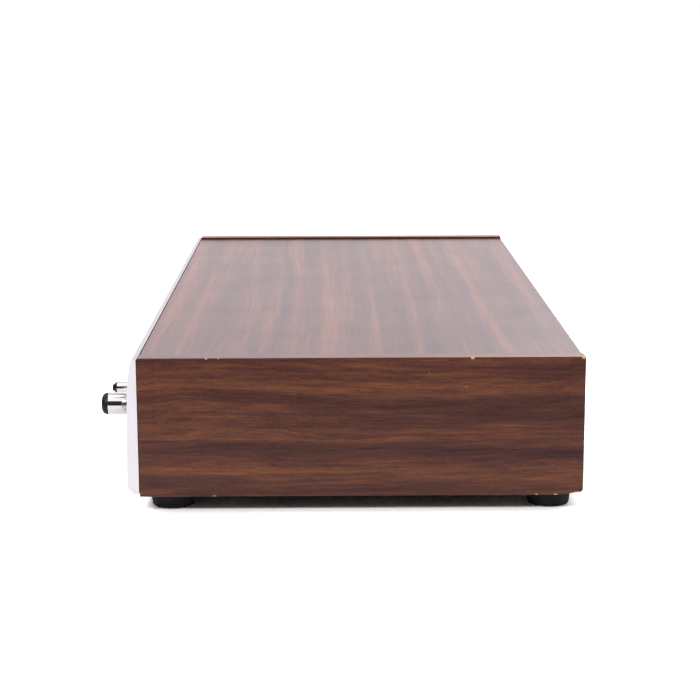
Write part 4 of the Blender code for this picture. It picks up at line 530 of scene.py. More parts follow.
def named(piece, name, finish, body="chassis", node=None):
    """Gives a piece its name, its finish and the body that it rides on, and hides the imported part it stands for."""
    settled(piece)
    piece.name = piece.data.name = name
    piece.data.materials.clear()
    piece.data.materials.append(finishes[finish])
    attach(piece, body)
    if node:
        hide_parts(node)
    return piece


def smooth(piece, degrees):
    only(piece)
    bpy.ops.object.shade_smooth_by_angle(angle=math.radians(degrees))
    return piece


def changed(piece, kind, **settings):
    """Puts a modifier on a piece and applies it."""
    only(piece)
    modifier = piece.modifiers.new(kind, kind)
    for setting, value in settings.items():
        setattr(modifier, setting, value)
    bpy.ops.object.modifier_apply(modifier=modifier.name)
    return piece


def body_of(node):
    return next(body for body, empty in frame["bodies"].items() if frame["nodes"][node].parent == empty)


def copy_of(node, name, finish):
    """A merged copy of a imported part, which stands for it."""
    copy = bpy.data.objects.new(name, frame["nodes"][node].data.copy())
    scene.collection.objects.link(copy)
    edit(copy)
    bpy.ops.mesh.remove_doubles(threshold=0.002 * MM)
    bpy.ops.mesh.dissolve_limited(angle_limit=math.radians(0.5))
    return named(done(), name, finish, body_of(node), node)


def rounded(piece, width, segments=2, degrees=30):
    """Rounds the real edges with a bevel so many millimetres wide, and keeps the flats flat."""
    changed(piece, "BEVEL", width=width * MM, segments=segments, limit_method="ANGLE",
            angle_limit=math.radians(degrees))
    smooth(piece, 35)
    return changed(piece, "WEIGHTED_NORMAL", keep_sharp=True, weight=60)


# %% [markdown]
# The cabinet is three boards: a top between two sides, with the sides standing a little above it. Vinyl folds tightly
# over a cut board, so the bevel is under half a millimetre. It has come off in small chips along the right side's
# edges. That side's lower rear corner is worn: a cut takes a long, shallow slice off underneath, and the corner that
# is left is rounded. The tops of the sides are as glossy as the lid.

# %% Cabinet boards
side_low, side_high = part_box("cabinet_side_right")
FRONT = side_low.y / MM
VINYL_FOLD = 0.4
WORN_LONG, WORN_HIGH, WORN_ROUND, TINY = 0.013, 0.0016, 0.0016, 0.0001
SKIN_OF_SIDES = {"gloss": 0.36, "shine": 0.3, "contrast": 0.92}
# The lid and the tops of the sides get the painted rosy reflection tint, which stands in for the rosy studio light.
SKIN_OF_TOPS = {"gloss": 0.29, "shine": 0.72, "depth": 0.04, "tint": PAINTED_ROSY_REFLECTION}


def on_edge(y_share, z):
    """A point on the right side's outer face, at a share of its depth."""
    return (side_high.x, side_low.y + (side_high.y - side_low.y) * y_share, z)


top_chips = [(on_edge(share, side_high.z), radius * MM)
             for share, radius in ((0.155, 0.6), (0.182, 0.4), (0.747, 1), (0.995, 1))]
low_chips = [(on_edge(share, side_low.z), radius * MM) for share, radius in ((0.168, 0.7), (0.895, 0.7), (0.938, 0.8))]
worn_chips = [((side_high.x, side_high.y - inward * MM, side_low.z + up * MM), 0.7 * MM)
              for inward, up in ((4.2, 0.9), (2.6, 1.2))]
specks = [((side_high.x, side_low.y + back * MM, up * MM), radius * MM)
          for back, up, radius in ((151, 76.2, 0.18), (170, 69, 0.2))]
walnut("walnut_side", 1, WALNUT, top_chips + low_chips + worn_chips + specks, **SKIN_OF_SIDES)
walnut("walnut_left", 1, WALNUT, seed=5.3, **SKIN_OF_SIDES)
walnut("walnut_band", 1, WALNUT_LID, top_chips, seed=8.1, **SKIN_OF_TOPS)
walnut("walnut_top", 0, WALNUT_LID, long=2.4, seed=2.9, **SKIN_OF_TOPS)
for node, finish in (("cabinet_side_right", "walnut_side"), ("cabinet_side_left", "walnut_left"),
                     ("cabinet_top", "walnut_top")):
    wood = copy_of(node, node + "_board", finish)
    if finish == "walnut_side":
        edit(wood)
        bpy.ops.mesh.bisect(plane_co=(0, side_high.y - WORN_LONG, side_low.z), use_fill=True, clear_outer=True,
                            plane_no=Vector((0, WORN_HIGH, -WORN_LONG)).normalized(), threshold=TINY / 100)
        pick(lambda edge: all(corner.co.y > side_high.y - TINY and corner.co.z < side_low.z + WORN_HIGH + TINY
                              for corner in edge.verts), "EDGE")
        bpy.ops.mesh.bevel(offset=WORN_ROUND, segments=4, affect="EDGES")
        done()
    rounded(wood, VINYL_FOLD, 3)
    if finish != "walnut_top":
        wood.data.materials.append(finishes["walnut_band"])
        for face in wood.data.polygons:
            face.material_index = int(face.normal.z > 0.8)
    print(wood.name, len(wood.data.polygons), "faces")

# %% [markdown]
# The tools of the bench all count in millimetres. The lathe draws half of a round part as a chain of points and spins
# it. The knurl pushes every second column of a spun grip inwards. The ring and the row copy a small part, and the
# letter cutter turns type into thin solid letters.

# %% Lathe, knurl, ring, row and letters
FRONTWARD, BACKWARD, UPWARD, DOWNWARD, LEFTWARD = (0, -1, 0), (0, 1, 0), (0, 0, 1), (0, 0, -1), (-1, 0, 0)
TYPE_HEIGHT, INK = 0.7, 0.12


def middle_of(node):
    return [(low + high) / 2 / MM for low, high in zip(*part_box(node))]


def lathe(profile, centre, toward=FRONTWARD, steps=48):
    """profile is (radius, distance along the axis) from one end to the other."""
    axis, centre = Vector(toward), Vector(centre) * MM
    side = axis.orthogonal().normalized()
    points = [centre + (side * radius + axis * along) * MM for radius, along in profile]
    deselect()
    bpy.ops.mesh.primitive_plane_add(size=MM, location=points[0])
    edit(active(), "VERT")
    bpy.ops.mesh.merge(type="CENTER")
    for here, there in zip(points, points[1:]):
        bpy.ops.mesh.extrude_vertices_move(TRANSFORM_OT_translate={"value": there - here})
    bpy.ops.mesh.select_all(action="SELECT")
    bpy.ops.mesh.spin(steps=steps, angle=math.tau, center=centre, axis=axis)
    bpy.ops.mesh.select_all(action="SELECT")
    bpy.ops.mesh.remove_doubles(threshold=0.003 * MM)
    bpy.ops.mesh.normals_make_consistent(inside=False)
    return settled(smooth(done(), 30))


def knurl(piece, centre, low, high, share, steps=96):
    """Draws in every second column of a grip that faces front, between two distances, to that share of its radius."""
    axis, centre = Vector(FRONTWARD), Vector(centre) * MM
    side = axis.orthogonal().normalized()
    other = axis.cross(side)
    edit(piece, "VERT")

    def column(corner):
        out = corner.co - centre
        along = out.dot(axis) / MM
        place = math.atan2(out.dot(other), out.dot(side)) / math.tau * steps
        wide = (out - axis * out.dot(axis)).length / MM
        return low - 0.01 < along < high + 0.01 and wide > 2 and round(place) % 2 == 1

    pick(column)
    bpy.ops.transform.resize(value=(share, 1, share), center_override=centre)
    return smooth(done(), 20)


def ring(piece, count, pitch, centre):
    """Copies a piece round an axis that faces front, pitch degrees apart, all in one mesh."""
    edit(piece, "VERT")
    bpy.ops.mesh.spin(steps=count - 1, angle=math.radians(pitch) * (count - 1), center=Vector(centre) * MM,
                      axis=FRONTWARD, dupli=True)
    return done()


def row(piece, count, pitch):
    """Copies a piece along X, pitch apart, all in one mesh."""
    return changed(piece, "ARRAY", count=count, use_relative_offset=False, use_constant_offset=True,
                   constant_offset_displace=(pitch * MM, 0, 0))


def bar(low, high, bevel=0.1, segments=2):
    """A bar between two corners, with its edges rounded."""
    low, high = Vector(low), Vector(high)
    deselect()
    bpy.ops.mesh.primitive_cube_add(size=1, location=(low + high) / 2 * MM, scale=(high - low) * MM)
    made = settled(active())
    if bevel:
        edit(made)
        bpy.ops.mesh.bevel(offset=bevel * MM, segments=segments, affect="EDGES")
        smooth(done(), 40)
    return made


def repeat(piece, moves):
    """Copies a piece by each of the moves, all in one mesh."""
    copies = [piece]
    for move in moves:
        only(piece)
        bpy.ops.object.duplicate()
        active().location = Vector(move) * MM
        copies.append(settled(active()))
    return joined(copies)


def leaned(piece, centre, degrees):
    """Turns a piece about an axis that faces front."""
    there = Matrix.Translation(Vector(centre) * MM)
    piece.data.transform(there @ Matrix.Rotation(math.radians(degrees), 4, Vector(FRONTWARD)) @ there.inverted())
    return piece


def cut(piece, tool):
    """Takes the tool's shape out of the piece."""
    changed(piece, "BOOLEAN", object=tool, operation="DIFFERENCE", solver="EXACT")
    bpy.data.objects.remove(tool)
    return piece


def joined(pieces):
    only(pieces[0])
    for piece in pieces:
        piece.select_set(True)
    if len(pieces) > 1:
        bpy.ops.object.join()
    return active()


def letters(words, y, facing=-1):
    """words are (text, x, z, height). facing is -1 to be read from the front, 1 from the back."""
    made = []
    for text, x, z, height in words:
        deselect()
        bpy.ops.object.text_add(location=(0, 0, 0))
        word = active()
        word.data.body, word.data.size, word.data.align_x = text, height * MM / TYPE_HEIGHT, "CENTER"
        word.data.extrude, word.data.resolution_u = INK / 2 * MM, 3
        bpy.ops.object.convert(target="MESH")
        word = active()
        word.rotation_euler = (math.radians(90), 0, math.radians(90) * (1 + facing))
        word.location = (x * MM, (y(z) if callable(y) else y) * MM, z * MM)
        made.append(settled(word))
    edit(joined(made))
    bpy.ops.mesh.remove_doubles(threshold=0.001 * MM)
    return done()


print("bench ready")

# %% [markdown]
# The faceplate is one aluminium extrusion, brushed from end to end, with two windows and holes for the controls. The
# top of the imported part's copy is pulled up beside the boards, which leaves a flat strip along the top and a short
# slope in front of it. Then its edges get the fine chamfer that catches the light.

# %% Faceplate
PLATE_SLOPES = [(11.9, 0), (16, 6.6), (41.1, 6.25), (72, 5.05), (80.1, 4), (83.4, 2.9)]
PLATE_CAD_TOP = 81.8
(SLOPE_END, SLOPE_OUT), (PLATE_TOP, TOP_OUT) = PLATE_SLOPES[-2:]
plate = copy_of("faceplate", "faceplate_brushed", "brushed_aluminium")
edit(plate, "FACE")
pick(lambda face: face.normal.z > 0.99 and face.calc_center_median().z > (PLATE_CAD_TOP - 1) * MM, "FACE")
bpy.ops.mesh.extrude_region_move(TRANSFORM_OT_translate={"value": (0, 0, (PLATE_TOP - PLATE_CAD_TOP) * MM)})
for low, high, height, out in ((PLATE_CAD_TOP - 0.1, PLATE_CAD_TOP + 0.1, SLOPE_END, SLOPE_OUT),
                               (PLATE_CAD_TOP + 0.1, PLATE_TOP + 1, PLATE_TOP, TOP_OUT)):
    pick(lambda dot: low * MM < dot.co.z < high * MM and dot.co.y < (FRONT - 1) * MM)
    here = next(dot.co for dot in bmesh.from_edit_mesh(plate.data).verts if dot.select)
    bpy.ops.transform.translate(value=(0, (FRONT - out) * MM - here.y, height * MM - here.z))
done()
rounded(plate, 0.22)


def plate_y(z):
    """Where the plate's face is at a height."""
    for (low, out_low), (high, out_high) in zip(PLATE_SLOPES, PLATE_SLOPES[1:]):
        if low <= z <= high:
            return FRONT - out_low - (out_high - out_low) * (z - low) / (high - low)
    return FRONT


# The ends take the paler aluminium: partly a rougher cut finish, partly painted light.
plate.data.materials.append(finishes["aluminium_edge"])
for face in plate.data.polygons:
    if abs(face.normal.x) > 0.9 and abs(face.center.x) > cad_high.x - 2 * MM:
        face.material_index = 1
print("plate", len(plate.data.polygons), "faces, at the middle", round(plate_y(41.1), 2))

# %% [markdown]
# The tuning knob is a polished barrel with a domed black rim pressed over its end, a spun aluminium cap inside the
# rim, and a wide knurled skirt behind. A notch on the cap shows how far the knob has turned.

# %% Tuning knob
BORE = 3.1


def axis_of(node):
    """Where a control's axis meets the cabinet's front."""
    x, _, z = middle_of(node)
    return x, FRONT, z


shaft_axis = axis_of("tuning_knob")
barrel = lathe([
    (0, 19.3), (BORE, 19.3), (BORE, 11.5), (5.5, 11.5), (5.5, 12.1), (5.95, 12.4), (6.1, 12.8), (6.1, 22), (5.95, 22.2),
    (5.6, 22.3), (0, 22.3)], shaft_axis, steps=72)
named(barrel, "tuning_knob_barrel", "chrome", "tuning", "tuning_knob")
rim = lathe([
    (3.3, 22.35), (5.95, 22.35), (6.1, 22.6), (6.05, 23.2), (5.85, 23.9), (5.5, 24.6), (5, 25.15), (4.4, 25.55),
    (3.8, 25.76), (3.5, 25.8), (3.35, 25.7), (3.3, 25.4), (3.3, 22.35)], shaft_axis, steps=72)
named(rim, "tuning_knob_rim", "knob_black", "tuning")
cap = lathe([
    (0, 22.35), (3.25, 22.35), (3.25, 25.25), (3.1, 25.4), (2.8, 25.4), (2.4, 25.3), (0, 25.2)], shaft_axis, steps=72)
named(cap, "tuning_knob_cap", "spun_aluminium", "tuning")
skirt = lathe([
    (BORE, 6.96), (9.9, 6.96), (10.7, 7.2), (10.95, 7.5), (11, 7.9), (11, 10.4), (10.7, 10.8), (10.1, 11), (9.4, 11.2),
    (8.6, 11.46), (BORE, 11.46), (BORE, 6.96)], shaft_axis, steps=120)
knurl(skirt, shaft_axis, 7.9, 10.4, 0.965, 120)
named(skirt, "tuning_knob_skirt", "spun_aluminium", "tuning")
x, _, z = shaft_axis
notch = bar((x - 0.3, FRONT - 25.6, z + 0.9), (x + 0.3, FRONT - 25.1, z + 2.9))
named(notch, "tuning_knob_notch", "knob_black", "tuning")
print("barrel", len(barrel.data.polygons), "skirt", len(skirt.data.polygons), "faces")

# %% [markdown]
# The four small knobs are the same idea, each turned once with its own shaft: a polished barrel, a black cap with a
# white line, and a thin knurled skirt. The line points straight up at rest.

# %% Bass, treble, balance and volume knobs
KNOBS = ("bass", "treble", "balance", "volume")
SMALL_SHAFT = -19
for name in KNOBS:
    centre = axis_of(name + "_knob")
    barrel = lathe([
        (0, SMALL_SHAFT), (2.7, SMALL_SHAFT), (3, SMALL_SHAFT + 0.3), (3, 10.3), (5.4, 10.3), (5.4, 10.7),
        (5.85, 10.95), (6, 11.3), (6, 16.9), (5.85, 17.5), (5.5, 17.9), (5.1, 18), (4.8, 17.8), (4.75, 17.2),
        (0, 17.2)], centre, steps=64)
    named(barrel, name + "_knob_barrel", "chrome", name, name + "_knob")
    skirt = lathe([
        (3.05, 7.25), (8.2, 7.25), (8.8, 7.4), (9, 7.7), (9, 9.5), (8.7, 9.9), (8, 10.1), (7, 10.25), (3.05, 10.25),
        (3.05, 7.25)], centre, steps=96)
    knurl(skirt, centre, 7.7, 9.5, 0.965)
    named(skirt, name + "_knob_skirt", "spun_aluminium", name)
    cap = lathe([(0, 17.22), (4.6, 17.22), (4.65, 17.5), (4.5, 17.7), (4, 17.75), (0, 17.7)], centre, steps=64)
    named(cap, name + "_knob_cap", "knob_black", name)
    x, _, z = centre
    line = joined([bar((x - 0.3, FRONT - 17.85, z + 0.8), (x + 0.3, FRONT - 17.6, z + 4.4), 0.08),
                   bar((x - 0.3, FRONT - 10.35, z + 6.4), (x + 0.3, FRONT - 10.05, z + 8.3), 0.08)])
    named(line, name + "_knob_line", "printed_white", name)
    print(name, [round(part, 1) for part in centre])

# %% [markdown]
# The power button is a polished rod with a black chamfered tip, on a thinner stem that reaches the switch inside. The
# four selector keys are bright bars, each with a hollow in its face for a fingertip: inset, pushed in and rounded.

# %% Power button and selector keys
KEYS = ("phono", "fm", "am", "tape")
centre = axis_of("power_button")
rod = lathe([
    (0, -25), (1.8, -25), (2, -24.8), (2, 10.6), (3.1, 10.6), (3.35, 10.9), (3.35, 22.2), (3.2, 22.4),
    (0, 22.4)], centre, steps=56)
named(rod, "power_button_rod", "chrome", "power", "power_button")
tip = lathe([
    (0, 22.45), (3.3, 22.45), (3.35, 22.6), (3.35, 22.7), (1.7, 24.85), (1.5, 25), (0, 25.1)], centre, steps=56)
named(tip, "power_button_tip", "knob_black", "power")

for name in KEYS:
    key = copy_of(name + "_key", name + "_key_cap", "chrome")
    face_y = min(corner.co.y for corner in key.data.vertices) / MM
    edit(key, "FACE")
    pick(lambda face: face.normal.y < -0.9 and abs(face.calc_center_median().y / MM - face_y) < 0.1, "FACE")
    bpy.ops.mesh.inset(thickness=1.4 * MM)
    bpy.ops.mesh.inset(thickness=0.8 * MM, depth=-0.6 * MM)
    done()
    rounded(key, 0.25, 3, 20)
    x, _, z = middle_of(name + "_key")
    mark = bar((x - 3, face_y - 0.02, z - 0.35), (x + 3, face_y + 0.75, z + 0.35))
    named(mark, name + "_key_mark", "knob_black", name)
    print(name, "key", len(key.data.polygons), "faces")

# %% [markdown]
# The headphone socket has a knurled ring nut, and its copy keeps the bore. The feet are rubber with rings in the
# sole, and a screw holds each one.

# %% Headphone socket and feet
JACK = (-200, FRONT, 27)
rounded(copy_of("headphone_jack", "headphone_socket", "nickel"), 0.2)
nut = lathe([
    (4.55, 6.75), (7.2, 6.75), (7.5, 6.95), (7.5, 8.1), (7.2, 8.4), (6.2, 8.5), (4.75, 8.5), (4.55, 8.3),
    (4.55, 6.75)], JACK, steps=80)
knurl(nut, JACK, 6.95, 8.1, 0.96, 80)
named(nut, "headphone_ring_nut", "nickel")

for node in ("foot_front_left", "foot_front_right", "foot_rear_left", "foot_rear_right"):
    x, y, _ = middle_of(node)
    foot = lathe([
        (0, 1.6), (2.6, 1.6), (2.8, 1.4), (2.8, 0.3), (3.1, 0.05), (3.6, 0), (5.6, 0), (5.8, 0.3), (6.3, 0.3), (6.5, 0),
        (8, 0), (8.2, 0.3), (8.7, 0.3), (8.9, 0), (10.3, 0), (10.8, 0.15), (11.2, 0.7), (12.1, 8), (12.35, 8.3),
        (12.5, 10.2), (12.2, 10.58), (0, 10.58)], (x, y, 0), UPWARD, 64)
    named(foot, node + "_rubber", "black_rubber", "chassis", node)
    head = lathe([(0, 0.9), (0.5, 0.9), (1.5, 0.95), (2.1, 1.2), (2.3, 1.62), (0, 1.62)], (x, y, 0), UPWARD, 32)
    named(head, node + "_screw", "zinc_plated_steel")
print("feet", round(x, 1), round(y, 1))

# %% [markdown]
# The dial is a smoked acrylic pane over a dark card with two tuning scales and a plain zero to ten between them. The
# ink is thin and solid, so it stays sharp in any view. The FM numbers are evenly spaced, and the AM numbers crowd
# towards the top of the band, as a variable capacitor makes them.

# %% Dial glass and printed scales
INK_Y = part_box("scale_plate")[0].y / MM - 0.03
SCALE_FROM, SCALE_TO = -114, 68
SCALE_SPAN, SCALE_MIDDLE = SCALE_TO - SCALE_FROM, (SCALE_FROM + SCALE_TO) / 2
FM_FROM, FM_SPAN = 88, 20
AM_FROM, AM_TO = 54, 160
LENS_X = 84
rounded(copy_of("dial_glass", "dial_pane", "smoked_acrylic"), 0.15)


def fm_x(megahertz):
    return SCALE_FROM + SCALE_SPAN * (megahertz - FM_FROM) / FM_SPAN


def am_x(tens_of_kilohertz):
    return SCALE_FROM + SCALE_SPAN * math.log(tens_of_kilohertz / AM_FROM) / math.log(AM_TO / AM_FROM)


def tick(x, low, high, wide=0.22):
    return bar((x - wide / 2, INK_Y - 0.06, low), (x + wide / 2, INK_Y + 0.06, high), 0.03, 1)


numbers = [(str(mark), fm_x(mark), 60.4, 2.5) for mark in range(88, 109, 2)]
numbers += [(str(mark), am_x(mark), 47, 2.5) for mark in (54, 60, 70, 80, 100, 120, 140, 160)]
numbers += [("FM", -129, 60.2, 2.9), ("AM", -129, 46.8, 2.9), ("MHz", 84, 60.4, 2.1),
            ("kHz x10", 85.5, 47, 2.1)]
named(letters(numbers, INK_Y), "dial_numbers", "printed_white")
lines = [row(tick(fm_x(FM_FROM), 57.4, 59.3), FM_SPAN + 1, SCALE_SPAN / FM_SPAN),
         row(tick(fm_x(FM_FROM + 0.5), 57.4, 58.4, 0.16), FM_SPAN, SCALE_SPAN / FM_SPAN),
         tick(SCALE_MIDDLE, 57.1, 57.3, SCALE_SPAN + 4), tick(SCALE_MIDDLE, 52, 52.2, SCALE_SPAN + 4)]
lines += [tick(am_x(mark), 50, 51.9) for mark in (54, 60, 70, 80, 90, 100, 120, 140, 160)]
lines += [tick(am_x(mark), 50.9, 51.9, 0.16) for mark in (57, 65, 75, 85, 95, 110, 130, 150)]
named(joined(lines), "dial_lines", "printed_white")
middle_scale = letters([(str(mark), SCALE_FROM + SCALE_SPAN * mark / 10, 53.9, 1.6) for mark in range(11)], INK_Y)
named(middle_scale, "dial_log_scale", "printed_amber")
stereo_lens = lathe([
    (0, -0.05), (1.5, -0.05), (1.5, 0.35), (1.3, 0.6), (0.8, 0.85), (0, 0.95)], (LENS_X, INK_Y, 54.6), steps=32)
named(stereo_lens, "stereo_lens", "socket_red")
named(letters([("STEREO", LENS_X, 51.2, 1.5)], INK_Y), "stereo_word", "printed_white")
print("scale from", SCALE_FROM, "to", SCALE_TO, "mm")

# %% [markdown]
# The signal meter has a pale card with an arc of lines and numbers round the needle's pivot. One line is made above
# the pivot, leaned to the end of the arc, and spun into all the others.

# %% Signal meter
METER_WALL, CARD_THICK, PIVOT_UP = 1, 0.25, 49
SWING = 70
case_low, case_high = (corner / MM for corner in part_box("meter_case"))
card_face = case_high.y - METER_WALL - CARD_THICK
inset = METER_WALL + 0.2
meter_card = bar((case_low.x + inset, card_face, case_low.z + inset),
                 (case_high.x - inset, case_high.y - METER_WALL - 0.01, case_high.z - inset), 0.08)
named(meter_card, "meter_card", "white_enamel", "chassis")
pivot_x = middle_of("meter_case")[0]
PIVOT = (pivot_x, card_face, PIVOT_UP)


def meter_marks(inner, outer, wide, count):
    """One mark, leaned to the end of the arc and spun across it."""
    mark = bar((pivot_x - wide / 2, card_face - 0.08, PIVOT_UP + inner),
               (pivot_x + wide / 2, card_face + 0.03, PIVOT_UP + outer), 0.02, 1)
    return ring(leaned(mark, PIVOT, SWING / 2), count, SWING / (count - 1), PIVOT)


marks = [meter_marks(11.6, 13.2, 0.3, 6), meter_marks(11.6, 12.5, 0.18, 11), meter_marks(11.45, 11.6, 0.62, 25)]
named(joined(marks), "meter_lines", "printed_black")
leans = [math.radians(SWING / 2 - SWING / 5 * index) for index in range(6)]
figures = [(str(index), pivot_x - math.sin(lean) * 14.7, PIVOT_UP + math.cos(lean) * 14.7 - 0.75, 1.6)
           for index, lean in enumerate(leans)]
figures.append(("SIGNAL", pivot_x, PIVOT_UP + 5.4, 1.5))
named(letters(figures, card_face - 0.02), "meter_figures", "printed_black")
print("meter pivot", [round(part, 1) for part in PIVOT])

# %% [markdown]
# The black words name only what each control does. The plate leans, so each word takes its depth from the plate's
# slope at its own height. Two dots beside each knob mark its ends.

# %% Words on the faceplate
WORD, KNOB_Z, DOTS_AT = 2, 27, 150
words = [(name.upper(), middle_of(name + "_knob")[0], 38.4, WORD) for name in KNOBS]
words += [(name.upper(), middle_of(name + "_key")[0], 33.9, WORD) for name in KEYS]
words += [("PHONES", JACK[0], 37, WORD), ("POWER", middle_of("power_button")[0], 38.4, WORD),
          ("TUNING", shaft_axis[0], 31.6, WORD)]
face_words = letters(words, lambda z: plate_y(z + WORD / 2) + 0.02)
named(face_words, "faceplate_words", "printed_black")
dots = []
for name in KNOBS:
    x = middle_of(name + "_knob")[0]
    centre = (x, plate_y(KNOB_Z), KNOB_Z)
    dot = bar((x - 0.22, plate_y(38) - 0.04, KNOB_Z + 9.9), (x + 0.22, plate_y(38) + 0.3, KNOB_Z + 10.8), 0.05, 1)
    dots.append(ring(leaned(dot, centre, DOTS_AT), 2, 2 * DOTS_AT, centre))
named(joined(dots), "faceplate_dots", "printed_black")
print(len(words), "words on the faceplate")

# %% [markdown]
# One pan-head screw serves the whole back and underside. Its dome is turned, its cross is cut with two crossed bars,
# and copies of it go to every fixing.

# %% Screws on the back and underneath
panel_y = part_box("rear_panel")[1].y / MM
pan_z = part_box("chassis_pan")[0].z / MM
SCREW_RADIUS, SCREW_HEIGHT = 2.8, 1.5
ARM_LONG, ARM_HALF, ARM_DEEP = 0.55 * SCREW_RADIUS, 0.28, 0.75


def screws(name, places, toward):
    """Domed heads with a cross, at places on the surface that they hold down."""
    axis, first = Vector(toward), Vector(places[0])
    head = lathe([
        (0, 0.02), (SCREW_RADIUS, 0.02), (SCREW_RADIUS, 0.35 * SCREW_HEIGHT), (0.86 * SCREW_RADIUS, 0.7 * SCREW_HEIGHT),
        (0.55 * SCREW_RADIUS, 0.94 * SCREW_HEIGHT), (0, SCREW_HEIGHT)], first, toward, 28)
    side = axis.orthogonal().normalized()
    middle = first + axis * (SCREW_HEIGHT + 0.25)
    for arm in (side, axis.cross(side)):
        reach = Vector([abs(a) * ARM_LONG + abs(b) * ARM_HALF + abs(c) * ARM_DEEP
                        for a, b, c in zip(arm, axis.cross(arm), axis)])
        cut(head, bar(middle - reach, middle + reach, 0))
    named(repeat(head, [Vector(place) - first for place in places[1:]]), name, "nickel")
    print(name, len(places))


screws("rear_screws", [(x, panel_y, z) for x in (-213, 213) for z in (17.5, 66.5)]
       + [(x, panel_y, 66.5) for x in (-160, -60, 0)], BACKWARD)
screws("underside_screws", [(x, y, pan_z) for x in (-205, 0, 205) for y in (-60, 20, 88)], DOWNWARD)

# %% [markdown]
# Behind, the folded panel carries phono sockets, two screw-terminal strips, a black finned heat sink, a swinging
# aerial and a rubber gland. Sheet edges get only a hair of rounding. The sockets' inserts are white for left and red
# for right, and each terminal has a slotted head.

# %% Back panel, heat sink and gland
rounded(copy_of("rear_panel", "rear_panel_folded", "zinc_plated_steel"), 0.12, 1)
rounded(copy_of("heat_sink", "heat_sink_fins", "black_anodised"), 0.2)
rounded(copy_of("cord_gland", "cord_gland_moulded", "black_plastic"), 0.3, 2, 40)
rounded(copy_of("antenna_bracket", "aerial_bracket", "zinc_plated_steel"), 0.2)
print("back panel at", round(panel_y, 1))

# %% Phono sockets
SOCKET_PLATE, SOCKET_PITCH, RIVET_INWARD = 2, 16, 3
socket_low, socket_high = (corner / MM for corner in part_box("socket_block"))
socket_x, _, socket_z = middle_of("socket_block")
plate_front = socket_low.y + SOCKET_PLATE
mount = bar(socket_low, (socket_high.x, plate_front, socket_high.z), 0.25)
named(mount, "socket_plate", "phenolic", "chassis", "socket_block")
columns = [socket_x + SOCKET_PITCH * (index - 1.5) for index in range(4)]
upper = (columns[0], plate_front, socket_z + SOCKET_PITCH / 2)
lower = (columns[0], plate_front, socket_z - SOCKET_PITCH / 2)
reach = socket_high.y - plate_front
sleeve = lathe([
    (3.3, 0.02), (5.2, 0.02), (5.3, 0.2), (5.2, 0.6), (4.3, 0.8), (4.1, 1), (4.1, reach - 0.3), (3.85, reach),
    (3.45, reach), (3.3, reach - 0.2), (3.3, 0.02)], upper, BACKWARD, 40)
sleeve = row(sleeve, 4, SOCKET_PITCH)
named(repeat(sleeve, [(0, 0, -SOCKET_PITCH)]), "socket_sleeves", "nickel", "chassis")
for name, finish, at in (("left", "socket_white", upper), ("right", "socket_red", lower)):
    insert = lathe([
        (0, 1), (1.55, 1), (1.6, 1.1), (1.6, reach - 1), (1.85, reach - 0.8), (2.9, reach - 0.8), (3.2, reach - 1.1),
        (3.25, reach - 1.4), (3.25, 0.05), (0, 0.05)], at, BACKWARD, 40)
    named(row(insert, 4, SOCKET_PITCH), "socket_inserts_" + name, finish)
rivet = lathe([(0, 0.02), (1.7, 0.02), (1.65, 0.4), (1.2, 0.75), (0, 0.9)],
              (socket_low.x + RIVET_INWARD, plate_front, socket_z), BACKWARD, 24)
rivets = row(rivet, 2, socket_high.x - socket_low.x - 2 * RIVET_INWARD)
named(rivets, "socket_rivets", "nickel")
print("sockets reach", round(reach, 1), "mm")

# %% Screw terminals
STRIP_BASE, STRIP_PITCH, STRIP_WALL = 5, 12, 1.6
for node, count in (("speaker_terminals", 8), ("aerial_terminals", 4)):
    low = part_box(node)[0] / MM
    rounded(copy_of(node, node + "_strip", "phenolic"), 0.2)
    at = Vector((low.x + STRIP_WALL / 2 + STRIP_PITCH / 2, low.y + STRIP_BASE, middle_of(node)[2]))
    clamp = bar(at + Vector((-4.4, 0.02, -5.6)), at + Vector((4.4, 0.75, 5.6)), 0.2)
    head = lathe([(0, 0.5), (3.5, 0.5), (3.7, 0.8), (3.7, 2.6), (3.4, 3.2), (2.7, 3.5), (0, 3.7)], at, BACKWARD, 36)
    cut(head, bar(at + Vector((-4.5, 2.7, -0.45)), at + Vector((4.5, 4.5, 0.45)), 0))
    smooth(head, 25)
    named(row(head, count, STRIP_PITCH), node + "_heads", "nickel")
    named(row(clamp, count, STRIP_PITCH), node + "_clamps", "brass")
    print(node, count)

# %% [markdown]
# The aerial is a ferrite bar in a black sleeve. It swings out on a pin, so its sleeve and ribs ride on its own body.

# %% Swinging aerial
pivot = (95, middle_of("antenna_rod")[1], 61.5)
rounded(copy_of("antenna_rod", "aerial_rod", "ferrite_rod_cover"), 0.3)
sleeve = lathe([
    (0, 6.5), (4.3, 6.5), (4.75, 6.9), (4.75, 13), (4.65, 13.4), (4.62, 13.5), (4.62, 111), (4.66, 111.1),
    (4.85, 111.4), (4.85, 116.2), (4.5, 117.1), (3.6, 117.4), (0, 117.4)], pivot, LEFTWARD)
named(sleeve, "aerial_sleeve", "ferrite_rod_cover", "rod")
rib = lathe([(4.5, 15), (4.95, 15.2), (4.95, 15.7), (4.5, 15.9), (4.5, 15)], pivot, LEFTWARD)
named(row(rib, 6, -2.2), "aerial_ribs", "black_plastic", "rod")
print("aerial pivot", [round(part, 1) for part in pivot])

# %% [markdown]
# Plain words on the back tell what each socket and terminal is for.

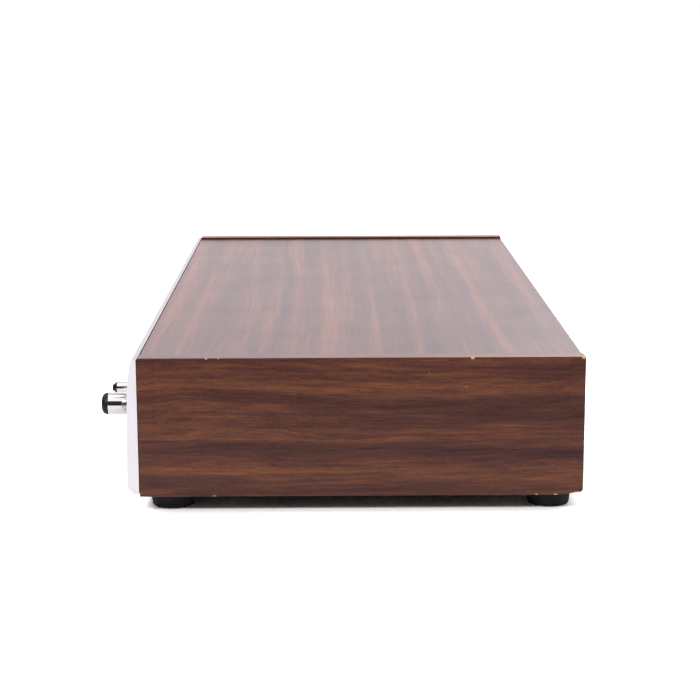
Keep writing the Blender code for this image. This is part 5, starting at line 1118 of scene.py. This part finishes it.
# %% Words on the back
speaker_x, aerial_x = middle_of("speaker_terminals")[0], middle_of("aerial_terminals")[0]
back = [(text, x, 52.4, 1.7) for text, x in zip(("TAPE OUT", "TAPE IN", "AUX", "PHONO"), columns)]
back += [("L", socket_high.x + 2.6, socket_z + 7.1, 2), ("R", socket_high.x + 2.6, socket_z - 8.9, 2)]
back += [("SPEAKERS", speaker_x, 44.6, 2.4), ("LEFT", speaker_x - 24, 22.8, 2), ("RIGHT", speaker_x + 24, 22.8, 2)]
back += [("+", speaker_x + step * STRIP_PITCH, 24.4, 1.6) for step in (-2.5, -0.5, 1.5, 3.5)]
back += [("AERIAL", aerial_x - 6, 44.6, 2.2), ("GND", aerial_x - 18, 23.4, 1.8), ("AM", aerial_x - 6, 23.4, 1.8),
         ("FM", aerial_x + 12, 23.4, 1.8), ("AC IN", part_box("cord_gland")[0].x / MM + 8.5, 36, 2)]
named(letters(back, panel_y + 0.02, facing=1), "back_words", "printed_black")
print(len(back), "words on the back")

# %% [markdown]
# The last cell gives every imported part that still shows its finish, and measures the finished model's box.

# %% Finishes of the imported parts
node_finishes = {
    "zinc_plated_steel": "sub_panel capacitor_frame",
    # The pan takes the darkened steel, painted shade under the cabinet.
    "pan_steel": "chassis_pan",
    "spun_aluminium": "stator_plates rotor_plates supply_can_front supply_can_rear",
    "nickel": "tuning_shaft tuning_bushing",
    "brass": "rotor_gear flywheel",
    "black_plastic": "dial_drum pulley_left pulley_right key_bank power_switch meter_case bass_control treble_control "
                     "balance_control volume_control",
    "circuit_board": "main_board amplifier_board",
    "lamination_steel": "transformer_core",
    "winding_wrap": "transformer_winding",
    "dial_cord": "dial_cord",
    "dial_card": "scale_plate",
    "lamp_glass": "dial_lamp_left dial_lamp_right",
    "pointer_red": "dial_pointer meter_needle",
}
for finish, nodes in node_finishes.items():
    for node in nodes.split():
        slots = frame["nodes"][node].data.materials
        slots.clear()
        slots.append(finishes[finish])
shown = {node for node, part in frame["nodes"].items() if not part.hide_render}
print("parts left as packed:", sorted(shown - set(" ".join(node_finishes.values()).split())))

low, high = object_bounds()
